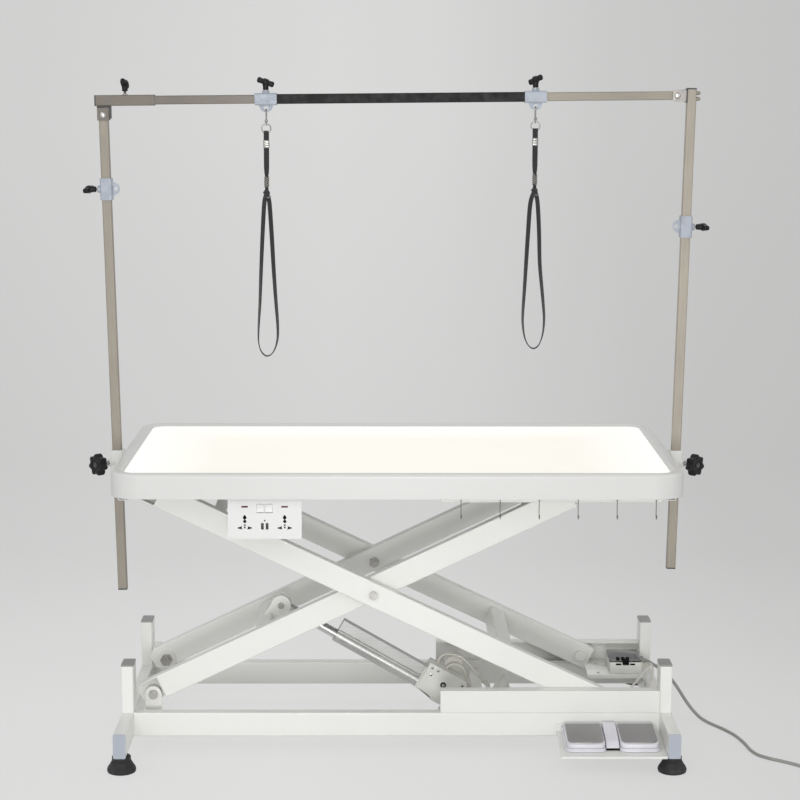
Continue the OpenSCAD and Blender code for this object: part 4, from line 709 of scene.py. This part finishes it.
def noose_webbing(side, place, loop):
    form = Form(place)
    tail = [(-1.3, -139, 7), (-1.35, -132, 9.4), (-1.35, -120, 10.8), (-1.35, -96, 11),
            (-1.35, -60, 11), (-1.9, -55, 11), (-2.9, -51.2, 11), (-2.2, -48, 11),
            (0, -46.4, 11)]
    tail += [(-y, z, width) for y, z, width in tail[-2::-1]]
    path = [(0, y, z) for y, z, width in tail]
    flat = [Vector((1, 0, 0))] * len(path)
    form.band(path, lambda i: webbing(tail[i][2], 2.3), flat, "strap")
    neck = [(-136, 6.0, 4.6), (-145, 5.4, 4.4), (-158, 5.4, 4.4), (-163, 7.2, 5.2),
            (-168, 8.0, 5.8), (-171, 8.2, 6.2)]
    form.pillows(neck, "strap")
    knot = [(-9, 6.6, 5.0), (-7.4, 9.4, 7.4), (-4, 11.6, 9.2), (0, 12.6, 9.8), (4, 11.4, 9.0),
            (6.6, 8.6, 7.0), (8, 5.6, 4.6)]
    form.pillows(knot, "strap", moved(0, 0, -176, 0.35, "Y"))
    over = smooth_route([(-5.6, -3.2, -170), (-1.5, -5.6, -173), (3, -5.4, -178.4),
                         (5.4, -2.6, -183)], 3)
    form.band(over, webbing(7.6, 2.0), [Vector((0.7, 0, 0.7))] * len(over), "strap")
    path = smooth_route([(x, 0, z) for x, z in loop], 5)
    low = min(p.z for p in path)
    across, points = [], []
    for i, p in enumerate(path):
        ahead = (path[min(i + 1, len(path) - 1)] - path[max(i - 1, 0)]).normalized()
        share = min(1.0, (p.z + 181) / (low + 181))
        late = 12 if i < len(path) / 2 else 0
        turn = radians(8 + (72 + late) * share ** 1.6 + (10 - late / 1.2) * share ** 8)
        normal = Vector((0, 1, 0)).cross(ahead)
        across.append(normal * cos(turn) + Vector((0, 1, 0)) * sin(turn))
        split = max(0.0, 1 - share * 6) * 1.4
        points.append(p + Vector((0, -split if i < len(path) / 2 else split, 0)))
    form.band(points, webbing(9.2, 2.1), across, "strap")
    form.piece(f"noose_webbing_{side}", f"noose_{side}", [f"noose_strap_{side}"], "strap", 60)


class TABLE_OT_nooses(PieceOperator, bpy.types.Operator):
    """Hangs a snap hook, a ring and a webbing loop from each slider of the crossbar"""

    bl_idname = "grooming_table.nooses"
    bl_label = "Nooses"

    def execute(self, context):
        for side, loop in LOOPS.items():
            place = moved(*JOINTS[f"noose_{side}_swing"]["pos_m"]) @ MM
            noose_fittings(side, place)
            noose_webbing(side, place, loop)
        return {"FINISHED"}


# Wing knobs: joint, body and node, first axis, turn, half of the clamped tube, knob's height
BAR_X = (cos(radians(0.6)), 0, sin(radians(0.6)))
WING_KNOBS = (
    ("bar_knob_left_turn", "bar_knob_left", BAR_X, 0, 12.5, 19.0),
    ("bar_knob_right_turn", "bar_knob_right", BAR_X, 135, 12.5, 19.0),
    ("post_knob_left_turn", "post_knob_left", (0, 0, 1), 80, 12.5, 21.5),
    ("post_knob_right_turn", "post_knob_right", (0, 0, -1), 95, 12.5, 21.5),
    ("sleeve_knob_turn", "sleeve_wing_knob", BAR_X, 80, 6.0, 18.5),
)


def threaded(form, radius, low, high, finish, at=None):
    """A screw thread as fine turned ridges."""
    steps = max(2, round((high - low) / 0.6))
    form.turned([(radius - 0.3 * (k % 2), low + (high - low) * k / steps)
                 for k in range(steps + 1)], finish, at, 16)


WING_TILT = radians(20)


def wing_knob(form, turn, seat, height):
    at = moved(0, 0, height, radians(turn), "Z")
    form.turned([(4.4, 0), (5.5, 0.5), (6.1, 1.4), (6.1, 2.4), (5.8, 3.2), (6.2, 8),
                 (7.4, 14), (7.8, 16.5)], "knob", at)
    wing = at @ moved(0, 0, 15.5, WING_TILT, "Y")
    half = [(18.2, 2.4, 3.0), (17.6, 6.4, 8.0), (16, 9.6, 11.4), (13, 10.8, 12.2),
            (9.5, 10.0, 11.0), (6.5, 12.2, 11.2), (3.5, 15.6, 12.0)]
    rows = [(-x, w, h) for x, w, h in half] + [(0, 16.6, 12.4)] + half[::-1]
    form.loft([[Vector((x, p.x, p.y)) for p in pillow(w, h, 0, 2.7)] for x, w, h in rows],
              "knob", wing)
    form.turned([(5.4, 5.4), (5.6, 6.4), (5.0, 7.1), (3.0, 7.4)], "knob_cap_painted_highlight", wing)
    threaded(form, 3.0, seat + 0.3, height + 2, "clip")
    form.turned([(6.0, seat + 5.2), (6.3, seat + 5.4), (6.3, seat + 6.2), (6.0, seat + 6.4)]
                if seat > 10 else
                [(5.4, seat + 5.1), (5.7, seat + 5.3), (5.7, seat + 6.3), (5.4, seat + 6.5)],
                "zinc")


class TABLE_OT_wing_knobs(PieceOperator, bpy.types.Operator):
    """Shapes the wing knobs that clamp the sliders and the sleeve"""

    bl_idname = "grooming_table.wing_knobs"
    bl_label = "Wing knobs"

    def execute(self, context):
        for joint, node, x, turn, seat, height in WING_KNOBS:
            form = Form(at_joint(joint, x))
            wing_knob(form, turn, seat, height)
            form.piece(f"{node}_wing", node, [node], "black_plastic", 50)
        return {"FINISHED"}


class TABLE_OT_star_knobs(PieceOperator, bpy.types.Operator):
    """Shapes the two lobed knobs that clamp the posts in their sockets"""

    bl_idname = "grooming_table.star_knobs"
    bl_label = "Star knobs"

    def execute(self, context):
        for side in ("left", "right"):
            form = Form(at_joint(f"{side}_star_turn", (0, 0, 1)))
            layers = [(42, 0.86), (42.8, 0.93), (44.5, 0.98), (47, 1.0), (55.5, 1.0),
                      (58, 0.985), (59.4, 0.94), (60, 0.87), (60, 0.55), (59, 0.47),
                      (59, 0.1)]
            rows = []
            for z, scale in layers:
                lobe = 2.7 if scale > 0.6 else 0
                rows.append([Vector((r * cos(a), r * sin(a), z)) for a, r in (
                    (tau * k / 98, scale * (20.8 + lobe * cos(tau * k / 14)))
                    for k in range(98))])
            form.loft(rows, "knob")
            form.turned([(7.6, 34.6), (8.6, 35), (9.2, 36.4), (9.4, 39), (10.6, 41),
                         (12.5, 42.6)], "knob", None, 28)
            threaded(form, 4.0, 14.2, 36, "clip")
            form.turned([(5.6, 58.6), (5.8, 59.4), (5.2, 60.2), (3.5, 60.6)], "knob_cap_painted_highlight")
            form.piece(f"{side}_star_knob_lobes", f"{side}_star_knob", [f"{side}_star_knob"],
                       "black_plastic", 50)
        return {"FINISHED"}


def repeat_tree():
    """Geometry nodes that repeat a shape in a row."""
    tree = bpy.data.node_groups.new("repeat_in_a_row", "GeometryNodeTree")
    sockets = tree.interface
    sockets.new_socket("Shape", in_out="INPUT", socket_type="NodeSocketGeometry")
    for name, kind in (("Count", "Int"), ("Pitch", "Vector"), ("Finish", "Material")):
        sockets.new_socket(name, in_out="INPUT", socket_type=f"NodeSocket{kind}")
    sockets.new_socket("Row", in_out="OUTPUT", socket_type="NodeSocketGeometry")
    enter, leave = tree.nodes.new("NodeGroupInput"), tree.nodes.new("NodeGroupOutput")
    line = tree.nodes.new("GeometryNodeMeshLine")
    line.inputs["Start Location"].default_value = (0, 0, 0)
    place = tree.nodes.new("GeometryNodeInstanceOnPoints")
    real = tree.nodes.new("GeometryNodeRealizeInstances")
    paint = tree.nodes.new("GeometryNodeSetMaterial")
    for a, b in (
        (enter.outputs["Count"], line.inputs["Count"]),
        (enter.outputs["Pitch"], line.inputs["Offset"]),
        (line.outputs["Mesh"], place.inputs["Points"]),
        (enter.outputs["Shape"], place.inputs["Instance"]),
        (place.outputs["Instances"], real.inputs["Geometry"]),
        (real.outputs["Geometry"], paint.inputs["Geometry"]),
        (enter.outputs["Finish"], paint.inputs["Material"]),
        (paint.outputs["Geometry"], leave.inputs["Row"]),
    ):
        tree.links.new(a, b)
    return tree


def repeat(piece, count, pitch, finish):
    """Repeats a piece in a row and keeps the result as its plain mesh."""
    tree = bpy.data.node_groups.get("repeat_in_a_row") or repeat_tree()
    modifier = piece.modifiers.new("row", "NODES")
    modifier.node_group = tree
    values = {"Count": count, "Pitch": pitch, "Finish": FINISH[finish]}
    for item in tree.interface.items_tree:
        if item.in_out == "INPUT" and item.name in values:
            modifier[item.identifier] = values[item.name]
    done = piece.evaluated_get(bpy.context.evaluated_depsgraph_get())
    mesh = bpy.data.meshes.new_from_object(done)
    piece.modifiers.remove(modifier)
    piece.data = mesh
    return piece


HOOK_ROW = (0.125, -0.306)    # the first hook's place


class TABLE_OT_tool_hooks(PieceOperator, bpy.types.Operator):
    """Bends one wire hook and repeats it under the skirt's front edge"""

    bl_idname = "grooming_table.tool_hooks"
    bl_label = "Tool hooks"

    def execute(self, context):
        sizes = context.scene.hook_sizes
        form = Form(moved(*HOOK_ROW, JOINTS["hook_swing"]["pos_m"][2]) @ MM)
        eye = [(0, 1.75 * sin(a), 1.75 * cos(a)) for a in
               (radians(t) for t in range(150, -181, -30))]
        shank = [(0, 0.2, -4.5), (0, 0.2, -12), (0, 0.3, -22), (0, 0.2, -28.5)]
        loop = [(0.004 * t, -2.4 + 2.6 * cos(radians(t)),
                 -33 - 3.0 * sin(radians(t))) for t in range(10, 300, 25)]
        form.tube(smooth_route(eye + shank + loop, 3), sizes.wire * 500, "wire", None, 8)
        form.turned([(0.5, -1.4), (1.25, -0.8), (1.4, 0), (1.25, 0.8), (0.5, 1.4)], "wire",
                    moved(*loop[-1]), 10)
        hooks = repeat(form.object("wire_hooks"), sizes.count, (sizes.pitch, 0, 0), "wire")
        declare(hooks, "tool_hooks", ["tool_hooks"])
        return {"FINISHED"}


BAR_Z = 1.3365                      # height of the crossbar's middle
POST_X, POST_Z = 0.5895, 0.579338   # where the posts lean outwards from
POST_LEAN = radians(1.2)
RIGHT_TOP = 1.35517                 # height of the right post's top


def on_bar():
    """The crossbar's own frame, in millimetres, with its first axis along the bar."""
    return basis(BAR_X, (-BAR_X[2], 0, BAR_X[0]), (0, 0, BAR_Z)) @ MM


def on_post(side):
    """A post's own frame, in millimetres, with its third axis along the post."""
    return basis((1, 0, 0), (side * sin(POST_LEAN), 0, cos(POST_LEAN)),
                 (side * POST_X, 0, POST_Z)) @ MM


def bracket_bolt(form, x, z, front):
    """A bright domed bolt on its dark washer, on the front of a bracket."""
    at = stood(x, -front, z)
    form.turned([(6.4, 0), (6.8, 0.3), (6.8, 0.9), (6.4, 1.2)], "clip", at)
    form.turned([(4.6, 1.1), (5.2, 1.5), (5.1, 2.6), (4.2, 3.5), (2.2, 4.1)], "bolt", at)


class TABLE_OT_post_tops(PieceOperator, bpy.types.Operator):
    """Adds the liners, bolts and plate where the crossbar meets the posts"""

    bl_idname = "grooming_table.post_tops"
    bl_label = "Liners of the post tops"

    def execute(self, context):
        form = Form(on_bar())
        form.block((-617.0, -13.3, -14.8), (-590.0, 13.3, -11.2), "dark_cap", 0.5)
        form.block((-592.7, -12.9, -37), (-590.0, 12.9, -13.6), "dark_cap", 0.5)
        form.piece("left_bracket_liner", "left_post", (), "dark_cap")
        for side, place, bolt in (("left", on_post(-1), (0, 721.5, 12.5)),
                                  ("right", on_bar(), (575.36, 0, 12.7))):
            form = Form(place)
            bracket_bolt(form, *bolt)
            form.piece(f"{side}_bracket_bolt", f"{side}_post", (), "zinc")
        form = Form(on_post(1))
        form.plate(box_outline(-39, -12.2, 750.6, 775.0, 2.5), 12.0, 12.6, 0.2, "bracket",
                   UPRIGHT)
        form.piece("right_bracket_plate", "right_post", (), "stainless")
        form = Form(on_post(1))
        z = (RIGHT_TOP - POST_Z) * 1000 - 13
        form.block((-12.4, -12.6, z - 14), (-9.7, 12.6, z + 14), "dark_cap", 0.5)
        form.piece("right_bracket_liner", "right_post", (), "dark_cap")
        return {"FINISHED"}


PLATE_TOP = (-0.2625, -0.2945, 0.556938)    # middle of the outlet plate's upper front edge
OUTLET_X, SLOT_X = 39.5, 4.7                # outlets and charging slots, from that middle


class TABLE_OT_outlets(PieceOperator, bpy.types.Operator):
    """Sets black fills into the outlets' holes as painted shade, and dark slots with grey
    tongues into the charging ports
    """

    bl_idname = "grooming_table.outlets"
    bl_label = "Outlets"

    def execute(self, context):
        form = Form(moved(*PLATE_TOP) @ MM)
        fork = [(4.9, -63.0), (6.4, -59.8), (5.9, -56.2), (9, -58.2), (13.3, -58.8),
                (13.9, -60), (13.3, -61.2), (9, -61.8)]
        for s in (-1, 1):
            at = stood(s * OUTLET_X, 0, 0)
            # black fills in the outlet holes: painted shade of the holes
            for radius, z in ((1.9, -35.8), (3.5, -39.3), (3.1, -46.9)):
                form.turned([(radius * 0.9, -9), (radius, -8.6), (radius, -0.9),
                             (radius * 0.9, -0.5)], "black",
                            at @ moved(0, z, 0), 20)
            form.block((-0.8, -46.5, -9), (0.8, -39.6, -0.7), "black", 0.1, at)
            for z in (-54.4, -59.2):
                form.block((-1.5, z - 1.5, -9), (1.5, z + 1.5, -0.6), "black", 0.2, at)
            for k in (-1, 1):
                outline = [Vector((k * x, z)) for x, z in fork][::-k]
                form.plate(outline, -9, -0.6, 0.15, "black", at)
            slot = stood(s * SLOT_X, 0, 0)
            form.block((-2.4, -63, -8.5), (2.4, -50.4, -3.5), "black", 0.4, slot)
            form.block((-1.0, -61.8, -4), (1.0, -51.6, -1.2), "port", 0.3, slot)
        form.piece("outlet_painted_shade_and_ports", "table", (), "black_plastic")
        return {"FINISHED"}


class TABLE_OT_gear_housing(PieceOperator, bpy.types.Operator):
    """Shapes the actuator's gear housing with its motor, screws and cables"""

    bl_idname = "grooming_table.gear_housing"
    bl_label = "Gear housing"

    def execute(self, context):
        ahead = Vector(JOINTS["actuator_extend"]["axis"])
        place = basis(ahead, (-ahead.z, 0, ahead.x), JOINTS["actuator_swing"]["pos_m"]) @ MM
        form = Form(place)
        outline = rounded([(338.6, -12), (372, -15), (379, -20), (418.9, -20), (440.9, -8),
                           (440.9, 28), (430.9, 52), (338.6, 52)], [2, 6, 4, 9, 7, 10, 9, 3])
        form.plate(outline, -21.8, 7, 1.6, "housing", UPRIGHT)
        form.plate(outline, 7.5, 22, 2.2, "housing", UPRIGHT)
        form.plate(inset(outline, 0.9), 6.4, 8, 0.1, "housing", UPRIGHT)
        form.loft([[Vector((x, p.x, p.y)) for p in rounded(
            [(-19, -15), (19, -15), (19, 38), (-19, 38)], [12, 12, 4, 4])]
            for x in (335.4, 336.0, 338.4)], "housing")
        for x, z in ((348, 43.5), (362, 44), (353, 28.5), (424, 40), (430, 2)):
            form.turned([(3.4, 21.6), (3.4, 22.2), (2.9, 22.9), (1.6, 23.2)], "zinc",
                        UPRIGHT @ moved(x, z, 0), 16)
            form.turned([(1.2, 22.9), (1.2, 23.4), (0.9, 23.45)], "black",
                        UPRIGHT @ moved(x, z, 0), 6)
        at = UPRIGHT @ moved(387, 22, 0)
        form.turned([(6.4, 21.6), (6.4, 22.8), (5.8, 23.6), (3.4, 23.8)], "knob", at)
        form.turned([(3.3, 22.5), (3.3, 24.4), (2.7, 25), (1.4, 25)], "zinc", at, 16)
        motor = UPRIGHT @ moved(392, 62, 0)
        form.turned([(16, -70), (19.4, -69), (20.8, -67), (21, -63.6), (20.2, -62.8),
                     (20.2, -61.8), (21, -61), (21, -32), (20.2, -31.2), (20.2, -30.2),
                     (21, -29.4), (21, -23), (19, -20)], "cable", motor, 40)
        inner = [(379, 4, 46), (380, 4, 56), (385, 4, 65), (394, 4, 70.5), (407, 4, 69.8),
                 (420, 4, 62), (430, 4, 52), (438, 4, 40), (441.5, 4, 28), (438, 4, 16)]
        outer = [(366, 14, 44), (357, 14, 55), (358.5, 14, 68), (367, 14, 77.5),
                 (388.5, 15, 85.5), (406, 15, 84.6), (423, 15, 79.5), (441, 14, 72.5),
                 (458, 14, 66.5), (466, 14, 64)]
        for route in (inner, outer):
            form.tube(smooth_route(route, 5), 2.7, "cable", None, 12)
        tip = moved(466, 14, 64, radians(17), "Y")
        form.block((0, -5, -4), (16, 5, 4), "housing", 0.8, tip)
        form.block((3, -2.2, 3.6), (13, 2.2, 5.4), "housing", 0.5, tip)
        form.piece("gear_housing_and_motor", "actuator_tube", ["actuator_gear_housing"],
                   "housing_plastic")
        form = Form(MM)
        form.block((176, -13, 75.2), (248, 13, 77.6), "powder", 0.8)
        form.plate(rounded([(207, 76.5), (245, 76.5), (232.4, 117), (229.4, 117)],
                           [0, 0, 1.2, 1.2]), -1.5, 1.5, 0.4, "powder", UPRIGHT)
        for foot, top in ((207, 229.4), (245, 232.4)):
            run = Vector((top - foot, 0, 40.5))
            at = basis((0, 1, 0), run.normalized(), (foot, 0, 76.5))
            form.block((-6, -1.0, 0), (6, 1.0, run.length), "powder", 0.5, at)
        form.piece("base_gusset", "base", (), "white_frame")
        return {"FINISHED"}


class TABLE_OT_control_box(PieceOperator, bpy.types.Operator):
    """Builds the control box on its shelf, with its lid and plugs"""

    bl_idname = "grooming_table.control_box"
    bl_label = "Control box"

    def execute(self, context):
        form = Form(MM)
        form.plate(box_outline(463.5, 533.5, 45, 133, 4), 98.2, 123.8, 1.2, "housing")
        form.plate(box_outline(464.3, 532.7, 45.8, 132.2, 4), 123.2, 124.8, 0.3, "black")
        form.plate(box_outline(463.7, 533.3, 45.2, 132.8, 4.5), 124.2, 128, 1.3, "lid")
        form.plate(box_outline(470, 527, 66, 126, 3), 127.6, 128.9, 0.6, "lid")
        for x0, x1 in ((477, 489), (508, 519)):
            form.block((x0, 44.3, 117.4), (x1, 46, 121.2), "black", 0.3)
        form.block((491.5, 41, 118.4), (505.5, 50, 131), "black", 1.0)
        for x in (482, 493, 503):
            form.block((x - 3.6, 48, 127.8), (x + 3.6, 60, 132.4), "black", 1.2)
        form.block((415.5, 39, 96), (540.3, 133, 97.9), "powder", 0.5)
        form.block((538.3, 39, 67), (540.3, 133, 97), "powder", 0.5)
        form.block((415.5, 38.4, 89), (540.3, 40, 97.9), "powder", 0.5)
        for y in (52, 120):
            form.turned([(3.4, 0), (3.4, 0.6), (2.8, 1.5), (1.2, 1.9)], "zinc",
                        moved(440, y, 97.9), 16)
        form.piece("control_box_and_shelf", "base", ["control_box"], "white_frame")
        return {"FINISHED"}


TRAY_PLACE, TRAY_TILT = (434, -198, 50), radians(4.5)    # rear middle of the foot switch
PEDAL_PLACE, PEDAL_TILT = (54, -10, 8), radians(1.7)     # a pedal's pivot on the foot switch


class TABLE_OT_foot_switch(PieceOperator, bpy.types.Operator):
    """Shapes the foot switch's base, its bridge and its two pedals"""

    bl_idname = "grooming_table.foot_switch"
    bl_label = "Foot switch"

    def execute(self, context):
        tray = MM @ moved(*TRAY_PLACE, TRAY_TILT)
        form = Form(tray)
        for s in (-1, 1):
            outline = rounded([(13.5, -116.4), (96, -116.4), (96, -6), (13.5, -6)],
                              [15, 15, 4, 4])
            if s < 0:
                outline = [Vector((-p.x, p.y)) for p in outline[::-1]]
            form.plate(outline, 0.6, 4.0, 1.0, "pedal")
            form.plate(inset(outline, 2.4), 3.6, 6.6, 0.8, "pedal")
            form.block((s * 94.5 - 1.6, -18, 4), (s * 94.5 + 1.6, -6, 12), "pedal", 0.6)
        side = basis((0, 1, 0), (1, 0, 0))
        bridge = rounded([(-103, 3.2), (-5.6, 3.2), (-5.6, 20), (-16, 24.4), (-90, 15.6),
                          (-103, 7)], [1, 1, 5, 5, 8, 2])
        form.plate(bridge, -13.2, 13.2, 1.6, "pedal", side)
        form.block((-15, -106, 0.8), (15, -98, 3.0), "black", 0.4)
        form.piece("foot_switch_base", "base", ["pedal_housing"], "pedal_plastic")
        for s, name in ((-1, "left"), (1, "right")):
            x, y, z = PEDAL_PLACE
            form = Form(tray @ moved(s * x, y, z, PEDAL_TILT))
            form.plate(rounded([(-38.6, -104.6), (38.6, -104.6), (38.6, 2), (-38.6, 2)],
                               [16, 16, 3, 3]), 2.4, 11.6, 2.0, "pedal")
            pad = rounded([(-35.8, -98), (35.8, -98), (35.8, -7), (-35.8, -7)], [17, 17, 2, 2])
            form.plate(inset(pad, -1.0), 11.2, 12.4, 0.4, "tread_rim")
            form.plate(pad, 11.6, 14.2, 0.9, "tread")
            form.piece(f"{name}_pedal_shell", f"{name}_pedal", [f"{name}_pedal"], "tread")
        return {"FINISHED"}


class TABLE_OT_stage(PieceOperator, bpy.types.Operator):
    """Floor, backdrop, lamps and the camera"""

    bl_idname = "grooming_table.stage"
    bl_label = "Stage"

    def execute(self, context):
        make_backdrop()
        make_lamps()
        make_camera(context.scene)
        return {"FINISHED"}


BACKDROP_GLOW = 0.78     # brightness of the backdrop's own light
BACKDROP_SHARE = 0.80    # share of it in what the camera sees; the rest keeps the shadow
STUDIO = 9.0             # half of the floor's width, and its reach to the front and up
BEND_Y, BEND_R = 3.0, 1.6    # where the floor turns up into the wall, and how wide


def make_backdrop():
    """A floor that turns up into a wall behind the table."""
    profile = [(-STUDIO, 0.0), (BEND_Y, 0.0)]
    for i in range(1, 13):
        a = pi / 2 * i / 12
        profile.append((BEND_Y + BEND_R * sin(a), BEND_R - BEND_R * cos(a)))
    profile.append((BEND_Y + BEND_R, STUDIO))
    bm = bmesh.new()
    rows = [[bm.verts.new((x, y, z)) for y, z in profile] for x in (-STUDIO, STUDIO)]
    for i in range(len(profile) - 1):
        bm.faces.new((rows[0][i], rows[1][i], rows[1][i + 1], rows[0][i + 1]))
    mesh = bpy.data.meshes.new("backdrop")
    bm.to_mesh(mesh)
    bm.free()
    for face in mesh.polygons:
        face.use_smooth = True
    s = Shader("backdrop", (0.72, 0.72, 0.715), rough=0.9)
    path = s.node("ShaderNodeLightPath").outputs
    seen = s.math("MAXIMUM", path["Is Camera Ray"], path["Is Glossy Ray"])
    seen = s.math("MAXIMUM", seen, path["Is Transmission Ray"])
    x = s.part_of("X")
    # painted shade and light: the glow dims away from the middle, more to the right and towards
    # the rear, and brightens upwards
    tone = s.ramp(s.math("ABSOLUTE", s.math("ADD", x, 0.25)), 0.0, 2.0, 1.0, 0.84)
    for value, *ends in ((x, 0.2, 1.0, 1.0, 0.90), (s.part_of("Y"), 0.1, 1.6, 1.0, 0.86),
                         (s.part_of("Z"), 0.0, 1.2, 1.0, 1.09)):
        tone = s.math("MULTIPLY", tone, s.ramp(value, *ends))
    glow = s.node("ShaderNodeEmission", Color=(1.0, 1.0, 0.995, 1))
    s.link(s.math("MULTIPLY", tone, BACKDROP_GLOW), glow.inputs["Strength"])
    lit = s.mix(s.math("MULTIPLY", seen, BACKDROP_SHARE), s.bsdf, glow)
    # seen from its rear side the wall is clear, so that the table can be seen from behind
    rear = s.node("ShaderNodeNewGeometry").outputs["Backfacing"]
    clear = s.mix(rear, lit, s.node("ShaderNodeBsdfTransparent"))
    s.link(clear.outputs[0], s.tree.nodes["Material Output"].inputs["Surface"])
    mesh.materials.append(s.material)
    backdrop = bpy.data.objects.new("backdrop", mesh)
    bpy.context.scene.collection.objects.link(backdrop)


ROOM_LIGHT = 0.70    # strength of the even light from all round

# Soft lamps: place, aim, width and power
LAMPS = {
    "key": ((-2.2, -3.4, 3.6), (0, 0, 0.6), 2.6, 26),
    "front": ((-0.6, -7.0, 3.0), (0, 0, 0.5), 2.4, 46),
    "low": ((0.0, -5.2, 0.5), (0, 0, 0.4), 0.9, 66),
    "fill": ((3.4, -3.0, 2.0), (0, 0, 0.5), 2.8, 8),
    "back": ((0.4, 2.4, 3.4), (0, 0, 0.7), 2.2, 20),
}


def make_lamps():
    """The even light of the room and the soft lamps."""
    world = bpy.data.worlds.new("studio")
    world.use_nodes = True
    sky = world.node_tree.nodes["Background"].inputs
    sky["Color"].default_value = (1, 1, 1, 1)
    sky["Strength"].default_value = ROOM_LIGHT
    bpy.context.scene.world = world
    for name, (place, aim, size, power) in LAMPS.items():
        lamp = bpy.data.lights.new(name, "AREA")
        lamp.energy, lamp.size = power, size
        light = bpy.data.objects.new(name, lamp)
        light.location = place
        light.rotation_euler = (Vector(aim) - Vector(place)).to_track_quat("-Z", "Y").to_euler()
        bpy.context.scene.collection.objects.link(light)


# The photograph's camera, fitted to the table's corners: its turns are pitch, yaw and roll
CAMERA_PLACE = (-0.0231, -4.2436, 1.3704)
CAMERA_TURNS = (radians(8.88), radians(0.40), radians(0.11))
FOCAL_PX, FRAME_PX = 2040, 800
SENSOR_WIDTH = 36.0


def make_camera(scene):
    """A camera with the photograph's place, turns and focal length."""
    pitch, yaw, roll = CAMERA_TURNS
    ahead = Vector((sin(yaw) * cos(pitch), cos(yaw) * cos(pitch), -sin(pitch)))
    level = Vector((cos(yaw), -sin(yaw), 0))
    right = level * cos(roll) + level.cross(ahead) * sin(roll)
    up = right.cross(ahead)
    data = bpy.data.cameras.new("camera")
    data.sensor_width = SENSOR_WIDTH
    data.lens = FOCAL_PX / FRAME_PX * SENSOR_WIDTH
    camera = bpy.data.objects.new("camera", data)
    turn = Matrix((right, up, -ahead)).transposed()
    camera.matrix_world = Matrix.Translation(CAMERA_PLACE) @ turn.to_4x4()
    scene.collection.objects.link(camera)
    scene.camera = camera


GROUPS = {"table_finishes": TableFinishes, "cord_sizes": CordSizes, "hook_sizes": HookSizes}


class TABLE_PT_panel(bpy.types.Panel):
    bl_label = "Grooming Table"
    bl_idname = "TABLE_PT_panel"
    bl_space_type = "VIEW_3D"
    bl_region_type = "UI"
    bl_category = "Grooming Table"

    def draw(self, context):
        for name, group in GROUPS.items():
            for key in group.__annotations__:
                self.layout.prop(getattr(context.scene, name), key)
        for operator in OPERATORS:
            self.layout.operator(operator.bl_idname)


OPERATORS = (
    TABLE_OT_finishes, TABLE_OT_mains_cord, TABLE_OT_nooses, TABLE_OT_wing_knobs,
    TABLE_OT_star_knobs, TABLE_OT_tool_hooks, TABLE_OT_post_tops, TABLE_OT_outlets,
    TABLE_OT_gear_housing, TABLE_OT_control_box, TABLE_OT_foot_switch, TABLE_OT_stage,
)
CLASSES = (*GROUPS.values(), *OPERATORS, TABLE_PT_panel)


def register():
    for item in CLASSES:
        bpy.utils.register_class(item)
    for name, group in GROUPS.items():
        setattr(bpy.types.Scene, name, PointerProperty(type=group))


def unregister():
    for name in GROUPS:
        delattr(bpy.types.Scene, name)
    for item in reversed(CLASSES):
        bpy.utils.unregister_class(item)


def main():
    register()
    bpy.context.scene.view_settings.view_transform = "Standard"
    for operator in OPERATORS:
        group, name = operator.bl_idname.split(".")
        getattr(getattr(bpy.ops, group), name)()


if __name__ == "__main__":
    main()
